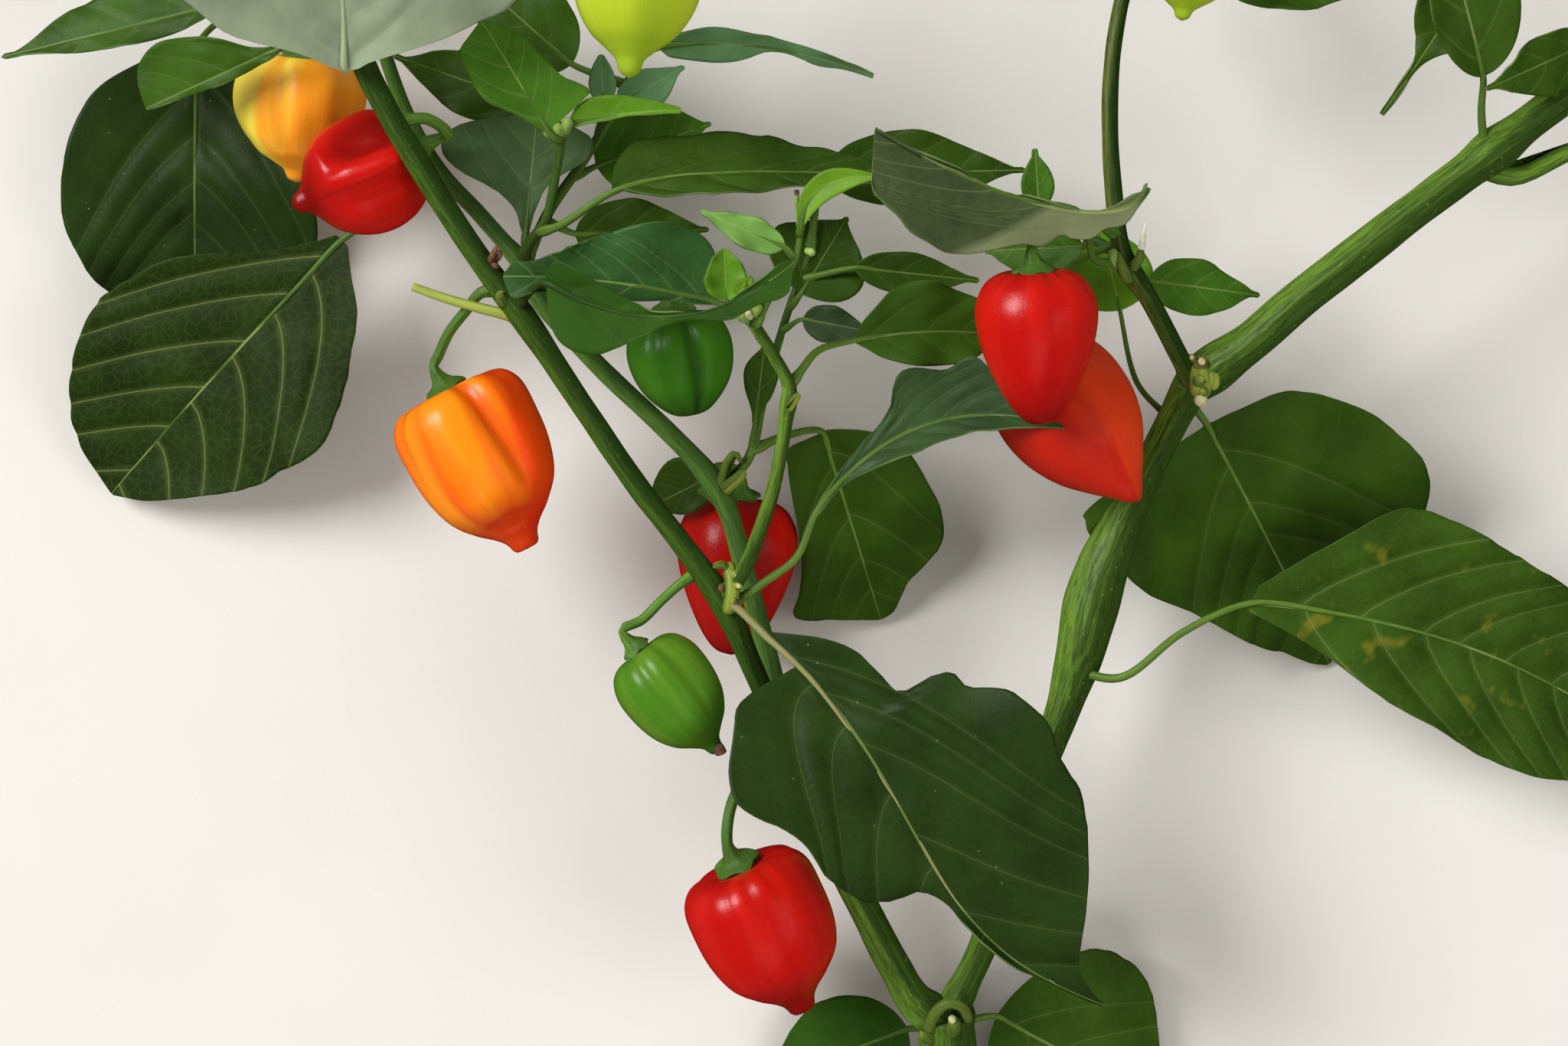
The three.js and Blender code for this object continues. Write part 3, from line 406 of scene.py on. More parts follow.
# Shoots: a twig, small leaves given one by one and others that spiral round it
SHOOTS = dict(
    tip_shoot=dict(
        via=((-62, 62, 46), (-59, 67, 51), (-56, 71, 55), (-54, 80, 59), (-52, 91, 63)),
        radii=(1.4, 0.95),
        leaves=(
            dict(
                root=(-52, 90, 63), base=(-54.4, 90.7, 66), tip=(-71.1, 118.1, 72), half=(10, 12),
                skin="leaf_clear_skin", fold=6, wave=0.8,
                laterals=((0.15, 0.35, 0.6), (0.12, 0.3, 0.5, 0.7)),
                edge=((
                    (0.058, 0.4), (0.094, 1.1), (0.197, 3.1), (0.346, 6.1), (0.474, 8.7), (0.63, 9.6),
                    (0.771, 8.8), (0.9, 8.2), (0.95, 4.5),
                ), (
                    (0.05, 0.8), (0.09, 6), (0.125, 12.5), (0.214, 12.3), (0.332, 9.5), (0.51, 8.2),
                    (0.641, 7.1), (0.755, 6), (0.868, 4.2),
                )),
            ),
            dict(
                root=(-52, 90, 63), base=(-50.6, 93.8, 65), tip=(-24.3, 97, 68), half=(5, 1),
                skin="leaf_young_skin", bow=0.8, fold=15, wave=0.3,
                edge=((
                    (0.04, 2), (0.08, 3.4), (0.23, 5), (0.49, 4.4), (0.73, 2.8), (0.9, 1.4),
                ), (
                    (0.05, 1), (0.3, 0.8), (0.8, 0.6),
                )),
            ),
        ),
    ),
    back_shoot=dict(
        via=((-15.5, 8, 39), (-8.5, 15, 40), (-5, 29, 41), (1, 50, 43), (7, 66, 45)), radii=(1.3, 0.8),
        leaves=(
            dict(
                root=(-8, 17, 40), base=(-6.8, 23.5, 43), tip=(-4.5, 42, 50), half=(4.2, 4.2), fold=10,
                wave=0.3, widest=0.62,
            ),
            dict(
                root=(-14, 9, 39), base=(-17, 11, 35), tip=(-33, 3, 27), half=(6, 8), fold=6, wave=0.6,
            ),
            dict(root=(1, 50, 43), base=(4, 54, 46), tip=(15, 72, 42), half=(14, 12), fold=6, wave=0.8),
            dict(root=(6, 63, 45), base=(10, 82, 46), tip=(57, 83, 40), half=(10, 8), fold=6),
            dict(root=(4, 57, 44), base=(17, 60, 48), tip=(46, 57, 45), half=(5, 5), fold=8, wave=0.5),
            dict(
                root=(0, 45, 42), base=(4.5, 48, 50), tip=(20.5, 45, 54), half=(4.5, 4.8),
                skin="leaf_bloom_skin", fold=14, wave=0.8,
            ),
        ),
    ),
    upper_shoot=dict(
        via=((-61, 60, 44), (-56, 72, 41), (-46, 87, 40), (-37, 103, 40), (-31, 121, 42)),
        radii=(1.4, 0.9),
        leaves=(
            dict(
                root=(-50, 81, 40), base=(-44, 84, 38), tip=(-17, 94, 32), half=(13, 11),
                skin="leaf_clear_skin", fold=5,
            ),
            dict(root=(-46, 87, 40), base=(-58, 98, 36), tip=(-92, 110, 32), half=(8.5, 8), fold=5),
            dict(
                root=(-37, 103, 40), base=(-50, 108, 36), tip=(-76, 131, 34), half=(11, 11),
                skin="leaf_mid_skin", fold=5,
            ),
            dict(
                root=(-41, 96, 40), base=(-42.5, 99, 46), tip=(-43, 110, 52), half=(3.4, 3.4),
                skin="leaf_pale_skin", fold=20, wave=0.3, blunt=True,
            ),
            dict(
                root=(-39, 99, 40), base=(-39, 98.5, 44), tip=(-23.4, 107.3, 46), half=(4.6, 5.6),
                skin="leaf_pale_skin", fold=5, wave=0.8,
            ),
            dict(
                root=(-34, 111, 41), base=(-29, 112, 42), tip=(21, 105, 34), half=(5, 5),
                skin="leaf_pale_skin", bow=3.5, fold=10, roll=35,
                edge=((
                    (0.05, 3), (0.2, 4.5), (0.35, 4), (0.6, 2.4), (0.9, 1.2),
                ), (
                    (0.05, 3), (0.2, 4.8), (0.3, 4.2), (0.45, 2.2), (0.6, 1.3), (0.9, 1),
                )),
            ),
        ),
    ),
    centre_tip_shoot=dict(
        via=((-7, 46, 78), (-3.6, 53, 80), (2.5, 62, 82), (3.8, 69, 83)), radii=(1.25, 0.65),
        leaves=(
            dict(
                root=(3.8, 67.5, 83), base=(4, 70, 85), tip=(25, 81, 91), half=(3.2, 3.2),
                skin="leaf_fresh_skin", bow=5.4, bend=0.8, fold=12, wave=0.2, breadth=0.5,
            ),
            dict(
                root=(2.5, 62, 82), base=(0, 65, 84), tip=(-19.6, 73.4, 86), half=(4.2, 3.8),
                skin="leaf_light_skin", fold=18, wave=1.4,
            ),
            dict(
                root=(-8, 49, 78), base=(-13.6, 52.5, 83), tip=(-14, 64.5, 85), half=(5.4, 5.4),
                skin="leaf_young_skin", fold=24, wave=1.6, blunt=True, quilt=3,
            ),
            dict(
                root=(-8, 49, 78), base=(-11, 53.5, 84), tip=(-7.6, 57.6, 87), half=(2.2, 2.2),
                skin="leaf_fresh_skin", fold=20, wave=0.5,
            ),
        ),
    ),
    side_leaves=dict(
        via=((80.5, 61, 72), (77, 64, 68), (72, 67, 64), (66, 69, 61)), radii=(1.5, 1.0),
        leaves=(
            dict(
                root=(78, 63, 69), base=(86, 57, 58), tip=(112, 53.5, 50), half=(6.5, 7),
                skin="leaf_clear_skin", fold=4,
            ),
            dict(
                root=(72, 67, 64), base=(70, 65, 60), tip=(47, 64, 52), half=(8, 6),
                skin="leaf_clear_skin", fold=8,
            ),
            dict(
                root=(66, 69, 61), base=(60, 74, 60), tip=(59, 88, 62), half=(4, 4),
                skin="leaf_clear_skin", fold=12, wave=0.3,
            ),
        ),
    ),
    left_end_shoot=dict(
        via=((-100.7, 133, 52.7), (-109, 141, 56), (-120, 147, 52)), radii=(1.6, 1.1),
        spiral=dict(count=2, length=36, seed=7),
        leaves=(
            dict(
                root=(-109, 141, 56), base=(-133, 122, 46), tip=(-184, 109.5, 38), half=(5, 10),
                skin="leaf_mid_skin", fold=8, roll=15,
            ),
            dict(
                root=(-104, 136, 54), base=(-118, 112, 58), tip=(-150, 97.5, 52), half=(2.5, 12),
                skin="leaf_mid_skin", fold=(0, 12),
                edge=((
                    (0.1, 1.5), (0.41, 2.3), (0.81, 1.2), (0.95, 0.9),
                ), (
                    (0.1, 1.5), (0.2, 3.2), (0.35, 7.5), (0.495, 10.6), (0.65, 12.3), (0.75, 12.5),
                    (0.86, 11.5), (0.944, 9), (0.985, 5),
                )),
            ),
            dict(root=(-119, 146, 53), base=(-124, 149, 44), tip=(-134, 156, 1), half=(13, 13), fold=8),
        ),
    ),
    right_end_shoot=dict(
        via=((81.5, 129, 77), (84, 138, 76), (92, 150, 70)), radii=(1.8, 1.1),
        spiral=dict(count=3, length=40, seed=23),
        leaves=(
            dict(
                root=(82, 131, 77), base=(101, 129.5, 74), tip=(147, 129.5, 64), half=(10, 9),
                skin="leaf_mid_skin", fold=5, wave=2.2,
            ),
            dict(root=(91, 149, 70), base=(95, 152, 56), tip=(101, 156, 1), half=(14, 14), fold=8),
        ),
    ),
    outer_end_shoot=dict(
        via=((200, 111, 56), (208, 115, 54), (216, 122, 50)), radii=(2.2, 1.2),
        spiral=dict(count=2, length=44, seed=41),
        leaves=(
            dict(
                root=(203, 112, 56), base=(190, 113, 66), tip=(165, 102, 74), half=(8, 7), fold=10,
                roll=-20,
            ),
            dict(
                root=(206, 114, 55), base=(164, 131, 62), tip=(140.5, 96, 58), half=(9, 9), arch=3,
                fold=12,
                edge=(CUPPED_EDGE, CUPPED_EDGE),
            ),
        ),
    ),
)

# What the faces of a shoot's leaves and petioles can have
SHOOT_SKINS = (
    "leaf_skin", "leaf_underside_skin", "petiole_skin", "leaf_young_skin", "leaf_fresh_skin",
    "leaf_pale_skin", "leaf_clear_skin", "leaf_light_skin", "leaf_mid_skin", "leaf_bloom_skin",
)

# Pods. crown and tip are a pod's ends, and turn the angle of its first groove. A crease has its
# angles at start and end, in degrees, the shares of the length there, its depth and its width in
# degrees, and a dent its share, angle, depth, length and width. on, root and via tell how the
# stalk runs, slim how thick it is, calyx how wide its cap is and face how far that leans.
PODS = dict(
    orange=dict(
        skin="orange_skin", crown=(-78.8, 30.2, 60), tip=(-60.3, -6, 62), radius=17.1, lobes=4,
        turn=0.5, tilt=4, shape="boxy", grooves=0.1, slim=0.8, calyx=0.88, on="left_front_stem",
        root=(-67, 55, 69), via=((-71, 54.3, 68), (-75, 49.6, 66), (-78.6, 45, 64), (-81.4, 39, 62)),
        creases=(
            (2, -36, -0.12, 0.66, 3.4, 9), (50, 64, -0.1, 0.56, 1.5, 9), (24, 6, -0.12, 0.36, 0.9, 7),
            (-62, -60, -0.05, 0.5, 0.9, 12), (105, 100, -0.05, 0.7, 1.6, 14),
            (172, 172, -0.05, 0.7, 2, 14), (-122, -118, -0.05, 0.7, 1.6, 14),
        ),
        dents=((0.78, 4, 2.2, 0.06, 44), (0.12, -42, -1.4, 0.16, 30), (0.45, 20, -1.2, 0.3, 20)),
    ),
    red_low=dict(
        skin="red_skin", crown=(-10.6, -81.2, 43), tip=(4.8, -115, 40), radius=16.9, lobes=4, turn=0.2,
        tilt=4, shape="boxy", grooves=0.12, on="left_bough", root=(2.5, -56, 44),
        via=((-7, -58, 47), (-12, -65, 46)),
        creases=(
            (48, 42, -0.14, 0.42, 0.8, 6), (24, 19, -0.14, 0.46, 0.9, 6), (0, -3, -0.14, 0.5, 1.0, 7),
            (-26, -24, -0.14, 0.45, 0.9, 7), (-54, -46, -0.14, 0.42, 0.7, 8),
            (80, 76, -0.14, 0.4, 0.7, 9), (125, 122, -0.14, 0.6, 1.0, 11),
            (180, 180, -0.14, 0.6, 1.2, 12), (-108, -104, -0.14, 0.6, 1.0, 11),
        ),
    ),
    green_low=dict(
        skin="green_skin", crown=(-33.6, -30.8, 60), tip=(-15.2, -54.2, 62), radius=11.5, lobes=3,
        turn=0.9, tilt=6, grooves=0.3, slim=0.75, calyx=0.62, on="left_front_stem",
        root=(-19.5, -11.2, 62.5), via=((-24, -14, 61), (-29, -18.4, 61), (-33.4, -22.8, 61)),
        creases=((14, 4, -0.1, 0.8, 1.0, 8), (-34, -30, -0.1, 0.7, 0.8, 8)),
    ),
    red_tall=dict(
        skin="red_skin", crown=(58.8, 58.7, 90), tip=(60.4, 23, 84), radius=14.0, turn=0.3,
        shape="taper", grooves=0.3, calyx=0.84, face=4, on="right_top_twig", root=(78.5, 68, 73),
        via=((73, 70.5, 80), (64.5, 70, 87)),
        creases=(
            (64, 54, -0.12, 0.34, 1.6, 8), (36, 30, -0.12, 0.34, 1.8, 8), (8, 5, -0.12, 0.32, 1.8, 8),
            (-20, -17, -0.12, 0.36, 1.9, 8), (-48, -40, -0.12, 0.34, 1.8, 9),
        ),
    ),
    red_pointed=dict(
        skin="red_orange_skin", crown=(56.2, 39.5, 54), tip=(83.5, 5, 65), radius=16.2, lobes=3,
        turn=1.2, shape="pointed", grooves=0.25, slim=0.55, on="right_top_twig", root=(76.7, 65.5, 73),
        via=((70, 62, 67), (64, 57.5, 60)),
    ),
    dark_green=dict(
        skin="dark_green_skin", crown=(-26, 48.5, 50), tip=(-21.6, 25.2, 47), radius=12.9, lobes=4,
        turn=0.1, shape="blunt", grooves=0.3, on="back_stem", root=(-47, 41, 40),
        via=((-45, 50, 46), (-33, 55, 51)),
        creases=((-14, -20, 0.1, 0.98, 2.0, 9), (22, 26, 0.1, 0.9, 0.8, 9)),
    ),
    red_behind=dict(
        skin="red_skin", crown=(-11, 5, 19), tip=(-12.5, -31, 16), radius=15.2, turn=0.6,
        shape="taper", on="back_stem", root=(-14, 4, 39), via=((-20, 9, 30), (-15, 13, 22)),
    ),
    red_wrinkled=dict(
        skin="red_skin", crown=(-88, 87, 55), tip=(-115.6, 74.4, 60), radius=14.7, turn=1.0,
        grooves=0.15, wrinkled=True, on="left_front_stem", root=(-91, 94, 73),
        via=((-84, 95, 65), (-79, 91, 57)), creases=((-30, -34, 0.1, 0.8, 0.8, 9),),
        dents=(
            (0.4, 34, 4.2, 0.2, 30), (0.5, -4, -2.2, 0.3, 13), (0.7, 30, -1.4, 0.07, 30),
            (0.86, -10, 1.2, 0.06, 60),
        ),
    ),
    yellow=dict(
        skin="yellow_skin", crown=(-113, 109, 34), tip=(-114.6, 80, 29), radius=15.9, turn=0.4,
        grooves=0.2, wrinkled=True, on="back_stem_upper", root=(-96, 118, 58),
        via=((-104, 120, 52), (-110, 117, 43)), creases=((30, 4, 0.1, 0.7, 1.8, 11),),
        dents=((0.35, 50, 1.2, 0.2, 16), (0.3, -20, -1.2, 0.2, 24)),
    ),
    light_green_top=dict(
        skin="light_green_skin", crown=(-34, 146, 90), tip=(-36.5, 104.5, 90), radius=15.8, lobes=3,
        turn=0.8, on="top_twig", root=(-51, 157, 96), via=((-41, 157, 95),),
    ),
    light_green_small=dict(
        skin="light_green_skin", crown=(97, 142, 88), tip=(93.5, 118, 86), radius=11, turn=0.2,
        on="right_end_shoot", root=(84, 138, 76), via=((88, 146, 84), (94, 149, 88)),
    ),
)

# Half a pod's outline from crown to tip, in shares of its radius and length
POD_OUTLINES = dict(
    lantern=(
        (0, 0), (0.3, 0), (0.52, -0.02), (0.82, 0.05), (0.99, 0.2), (1, 0.4), (0.9, 0.58), (0.66, 0.74),
        (0.36, 0.84), (0.2, 0.9), (0.15, 0.96), (0, 1),
    ),
    boxy=(
        (0, 0), (0.3, 0), (0.55, -0.015), (0.84, 0.02), (0.98, 0.12), (1, 0.3), (0.97, 0.48),
        (0.84, 0.66), (0.56, 0.8), (0.33, 0.88), (0.23, 0.93), (0.18, 0.985), (0, 1),
    ),
    taper=(
        (0, 0), (0.3, 0), (0.55, -0.01), (0.85, 0.07), (1, 0.22), (0.97, 0.4), (0.84, 0.58),
        (0.64, 0.76), (0.44, 0.89), (0.24, 0.97), (0, 1),
    ),
    pointed=(
        (0, 0), (0.3, 0), (0.55, -0.01), (0.85, 0.09), (1, 0.28), (0.97, 0.46), (0.8, 0.64),
        (0.52, 0.79), (0.27, 0.9), (0.12, 0.97), (0, 1),
    ),
    blunt=(
        (0, 0), (0.32, 0), (0.55, -0.01), (0.85, 0.07), (1, 0.28), (0.98, 0.48), (0.85, 0.68),
        (0.6, 0.85), (0.34, 0.96), (0.15, 0.99), (0, 0.99),
    ),
)

# The stub of a leaf stalk whose blade has dropped, beside the orange pod's stalk
BROKEN_PETIOLE = dict(
    via=(
        (-61, 48, 67.5), (-66.5, 49.3, 68.4), (-73.8, 51.1, 68.5), (-81.2, 53.3, 68),
        (-87.3, 55.5, 68),
    ),
    radii=(1.4, 0.95),
)

# What sits at the joints, by kind: its finish, then each one's radii at foot and head, the share
# of it that is rounded off, and the places that it runs through
GROWTHS = dict(
    green_stubs=("stub_skin", (
        # main fork: an arched ridge round the scar of a cut shoot
        (
            1.5, 1.3, 0.15, (33.7, -119.5, 28), (35.6, -115.2, 32), (38.5, -112.9, 33.6),
            (41.8, -113.8, 33), (43.6, -117.6, 29),
        ),
        (2.0, 1.5, 0.3, (39.5, -119, 29), (40, -118, 31.5), (39.6, -116.8, 33)),
        (1.8, 1.2, 0.4, (34, -121, 27), (32.5, -120, 30.5)),
        # first joint of the left front stem
        (
            1.7, 1.9, 0.25, (-13.2, -10, 63.6), (-12.2, -13.5, 65.4), (-12.4, -17.5, 65.4),
            (-13.6, -21.5, 63.4),
        ),
        (1.2, 1.0, 0.25, (-12, -12, 65.6), (-10.9, -12.3, 67.2)),
        (1.1, 0.95, 0.25, (-11.6, -14.6, 66), (-10.6, -14.8, 67.6)),
        (1.1, 0.9, 0.25, (-12, -18.4, 65.8), (-11.3, -18.6, 67.4)),
        (1.1, 0.8, 0.25, (-13, -11.5, 64), (-14.6, -9.8, 66), (-16.8, -10.4, 66.2)),
        # joint above the orange pod
        (1.6, 1.2, 0.25, (-66, 52, 70), (-67, 54, 72.5)),
        # joint of the back stem, with a hooked stub
        (1.1, 0.7, 0.25, (-15, 9, 41), (-13.4, 14.4, 43.4), (-11.6, 16.4, 44), (-9.8, 14, 43)),
        (1.7, 1.2, 0.25, (-14, 8, 41), (-11, 10.5, 42.6), (-9, 12.5, 42)),
        # bend of the centre twig
        (1.2, 0.9, 0.25, (1, 27, 76), (3.5, 30.5, 78)),
        # fork of the right bough: a lumpy cushion between two round scars
        (2.7, 2.5, 0.3, (97, 37.6, 57.5), (98, 33.4, 59.4), (97.6, 29, 58)),
        (1.3, 1.0, 0.4, (95.6, 38.4, 58), (96.4, 38.8, 61.8)),
        (1.6, 1.4, 0.3, (97.4, 33.4, 60), (98, 33.2, 62.8)),
        (1.3, 1.1, 0.3, (98.6, 30.8, 60), (99, 30.8, 62.2)),
        (2.0, 1.7, 0.2, (97.6, 37, 59), (98.1, 37.9, 61.4)),
        (1.7, 1.5, 0.4, (100.4, 36, 58), (101, 33.4, 59.6), (100.4, 31.4, 58.4)),
        # joint of the right top twig
        (1.4, 1.0, 0.5, (81, 57, 73), (79.2, 61, 76), (78.3, 64, 76.5)),
        (1.3, 1.1, 0.5, (82, 60, 73), (83.6, 62.4, 75.6), (84, 65, 76)),
    )),
    cut_scars=("cut_flesh", (
        # main fork
        (1.0, 1.0, 0.06, (39.6, -116.9, 32.6), (39.5, -116.6, 33.8)),
        # first joint of the left front stem
        (0.7, 0.7, 0.06, (-11, -12.3, 66.8), (-10.8, -12.3, 67.6)),
        (0.65, 0.65, 0.06, (-10.8, -14.8, 67.2), (-10.5, -14.8, 68)),
        # fork of the right bough
        (0.95, 0.9, 0.1, (98.1, 37.8, 61), (98.3, 38.1, 62)),
        (1.5, 1.45, 0.1, (97.9, 29, 59.6), (98.2, 28.6, 61.4)),
        (0.6, 0.55, 0.1, (95.7, 38.6, 60.6), (95.9, 39.2, 62)),
        # tip of the centre twig
        (1.0, 1.2, 0.3, (-8, 48.5, 79), (-9, 50, 82)),
    )),
    flower_buds=("bud_skin", (
        # joint of the right top twig
        (1.3, 1.5, 0.5, (78, 61, 74), (77.3, 62.6, 76), (77.5, 64.6, 76)),
        # tips of the centre twig and of its shoot
        (0.7, 1.2, 0.5, (5.2, 64, 83), (7.2, 63.4, 84.6)),
        (0.5, 0.5, 0.1, (3.6, 68, 83), (3.1, 73, 84), (3, 77.6, 85)),
        (1.3, 1.7, 0.5, (-9.5, 48, 79), (-10, 50.5, 82)),
        (1.1, 1.5, 0.5, (-7, 49, 79), (-6, 51.5, 82)),
        # tip of the tip shoot
        (1.2, 1.9, 0.5, (-52.5, 91, 63), (-53.5, 94, 66.5)),
        (1.1, 1.6, 0.5, (-51.5, 92, 64), (-50.6, 95, 67.5)),
        (1.0, 1.4, 0.5, (-54, 90.4, 63), (-56, 92.4, 66)),
    )),
    petals=("fresh_petal", (
        (0.9, 0.3, 0.4, (84, 64.4, 76), (84.4, 67.5, 77), (85.2, 71, 77)),
    )),
    dry_petals=("dry_petal", (
        # first joint of the left front stem
        (0.65, 0.6, 0.1, (-11.3, -18.5, 67), (-11.1, -18.7, 67.8)),
        (1.0, 0.7, 0.3, (-14.6, -15.2, 65.5), (-14.8, -15.5, 66.6)),
        # joint above the orange pod
        (1.1, 0.5, 0.25, (-69, 61.5, 70), (-68.2, 63.4, 73), (-67.4, 65.4, 73.6)),
        (0.9, 0.5, 0.25, (-68.2, 61.6, 70), (-66.8, 63, 72.4), (-66.9, 64.4, 73)),
        (0.9, 0.6, 0.25, (-68.6, 61, 70), (-67.2, 60, 72.6)),
        # fork of the right bough
        (1.4, 1.3, 0.1, (98.0, 37.6, 60.4), (98.2, 38, 61.7)),
        # tip of the centre twig's shoot
        (0.6, 0.55, 0.3, (3, 77.2, 85), (2.9, 78.4, 85.2)),
        # the low green pod's tip
        (1.1, 1.5, 0.25, (-15.6, -52, 62), (-14.6, -54.6, 62)),
    )),
    side_twig=("stem_skin", (
        (2.5, 1.8, 0.5, (163.5, 83.5, 59), (171.5, 81.6, 57), (184, 87, 55), (197, 93, 53)),
    )),
)


def mix(low, high, share):
    return low + (high - low) * share


def clamp(value, low=0.0, high=1.0):
    return max(low, min(high, value))


def smooth(value, low, high):
    """0 below low, 1 above high and a soft step between them."""
    share = clamp((value - low) / (high - low))
    return share * share * (3 - 2 * share)


def bump(value, middle, width):
    """A smooth hill, 1 high at its middle."""
    return math.exp(-(((value - middle) / width) ** 2))


def place(spot):
    """The true position, in millimetres, of a place as it looks from the viewpoint."""
    spread = 1 - (spot[2] - MIDDLE_LEVEL) / VIEW_HEIGHT
    return Vector((spot[0] * spread - CENTRE[0], spot[1] * spread - CENTRE[1], spot[2]))


def seen(point):
    """A true position written as the place that looks the same."""
    spread = 1 - (point.z - MIDDLE_LEVEL) / VIEW_HEIGHT
    return ((point.x + CENTRE[0]) / spread, (point.y + CENTRE[1]) / spread, point.z)


def drawer(seed):
    """A repeatable draw from 0 to 1."""
    state, prime = seed, 2**31 - 1
    while True:
        state = state * 16807 % prime
        yield state / prime


def cubic(start, end, leave, arrive, t):
    """A smooth way from start to end, with its slopes where it leaves and arrives."""
    square = 3 * (end - start) - 2 * leave - arrive
    cube = 2 * (start - end) + leave + arrive
    return start + leave * t + square * t**2 + cube * t**3


def stretch(before, start, end, after, steps=20):
    """Points along one stretch of a smooth curve through four points, without its first."""
    gaps = [(b - a).length ** 0.5 for a, b in ((before, start), (start, end), (end, after))]
    chord = (end - start) / gaps[1]
    leave = (start - before) / gaps[0] - (end - before) / (gaps[0] + gaps[1]) + chord
    arrive = chord - (after - start) / (gaps[1] + gaps[2]) + (after - end) / gaps[2]
    leave *= gaps[1]
    arrive *= gaps[1]
    return [cubic(start, end, leave, arrive, step / steps) for step in range(1, steps + 1)]


def upright(along):
    """The direction square to a heading that faces up most."""
    return (Vector((0, 0, 1)) - along * along.z).normalized()


class Route:
    """A smooth curve through points, with places on it told as a share of its length."""

    def __init__(self, points):
        ends = [2 * points[0] - points[1], *points, 2 * points[-1] - points[-2]]
        self.line = [points[0].copy()]
        for corners in zip(ends, ends[1:], ends[2:], ends[3:]):
            self.line += stretch(*corners)
        self.reached = [0.0]
        for a, b in zip(self.line, self.line[1:]):
            self.reached.append(self.reached[-1] + (b - a).length)
        self.length = self.reached[-1]

    def at(self, share):
        target = clamp(share) * self.length
        i = min(bisect_right(self.reached, target), len(self.line) - 1)
        step = self.reached[i] - self.reached[i - 1]
        return self.line[i - 1].lerp(self.line[i], (target - self.reached[i - 1]) / step)

    def heading(self, share):
        return (self.at(share + 0.004) - self.at(share - 0.004)).normalized()

    def nearest(self, point):
        return min((self.at(i / 120) for i in range(121)), key=lambda p: (p - point).length)

    def frames(self, steps):
        """At even steps, the heading and two directions square to it that turn least."""
        headings = [self.heading(i / steps) for i in range(steps + 1)]
        first = headings[0]
        least = min(range(3), key=lambda i: (round(abs(first[i]), 9), -i))
        axis = Vector([float(i == least) for i in range(3)])
        normal = first.cross(first.cross(axis).normalized())
        found = [(first, normal, first.cross(normal))]
        for before, after in zip(headings, headings[1:]):
            normal = before.rotation_difference(after) @ normal
            found.append((after, normal, after.cross(normal)))
        return found

    def level_frames(self, steps):
        """At even steps, the heading, the direction that faces up most, and the side."""
        found = []
        for i in range(steps + 1):
            heading = self.heading(i / steps)
            up = upright(heading)
            found.append((heading, up, heading.cross(up)))
        return found


def route_through(places):
    return Route([place(spot) for spot in places])


def limb_route(limb):
    if "route" not in limb:
        limb["route"] = route_through(limb["via"])
    return limb["route"]


def limb_radius(limb, share):
    """An even taper with smooth swellings at the joints."""
    radius = mix(*limb["radii"], share)
    for at, added, *spread in limb.get("joints", ()):
        radius += added * bump(share, at, spread[0] if spread else JOINT_SPREAD)
    return radius


def roll_up(bm, steps, sides, point_at, material=0):
    """Adds a closed tube: a grid that point_at(step, angle) bends round, its seam joined and its
    ends filled. point_at gives a point and its grain, the place on the unrolled skin."""
    grain = bm.verts.layers.float_vector["grain"]
    verts = bmesh.ops.create_grid(bm, x_segments=steps, y_segments=sides, size=0.5)["verts"]
    faces = {face for vert in verts for face in vert.link_faces}
    seam = [vert for vert in verts if abs(vert.co.y) > 0.499]
    for vert in verts:
        step = round((vert.co.x + 0.5) * steps)
        vert.co, vert[grain] = point_at(step, -math.tau * vert.co.y)
    bmesh.ops.remove_doubles(bm, verts=seam, dist=1e-5)
    faces = [face for face in faces if face.is_valid]
    rims = list({edge for face in faces for edge in face.edges if edge.is_boundary})
    faces += bmesh.ops.holes_fill(bm, edges=rims, sides=0)["faces"]
    for face in faces:
        face.material_index = material
    return faces


def grow_tube(bm, route, radius_at, sides, step, level=False, material=0):
    """Adds a tube along a route. radius_at takes a share of the length and an angle, which is
    0 on the upper side if the frames are level."""
    steps = max(4, round(route.length / step))
    frames = route.level_frames(steps) if level else route.frames(steps)
    middles = [route.at(i / steps) for i in range(steps + 1)]

    def point_at(i, angle):
        radius = radius_at(i / steps, angle)
        across = math.cos(angle) * frames[i][1] + math.sin(angle) * frames[i][2]
        grain = (radius * math.cos(angle), radius * math.sin(angle), route.length * i / steps)
        return middles[i] + radius * across, grain

    return roll_up(bm, steps, sides, point_at, material)


def sided(value, side):
    """A leaf's value for one side: 0 is the left of the midrib and 1 the right."""
    return value[side] if isinstance(value, tuple) else value


def edge_width(stations, share):
    """A half width read from measured stations, with a soft curve between them."""
    spots = [(0, 0.3 * stations[0][1]), *stations, (1, TIP_HALF)]
    i = clamp(bisect_right([spot[0] for spot in spots], share), 1, len(spots) - 1)
    before = spots[max(0, i - 2)]
    (low, start), (high, end) = spots[i - 1], spots[i]
    after = spots[min(len(spots) - 1, i + 1)]
    t = (share - low) / (high - low)
    leave = (end - before[1]) / (high - before[0]) * (high - low)
    arrive = (after[1] - start) / (after[0] - low) * (high - low)
    return cubic(start, end, leave, arrive, t)


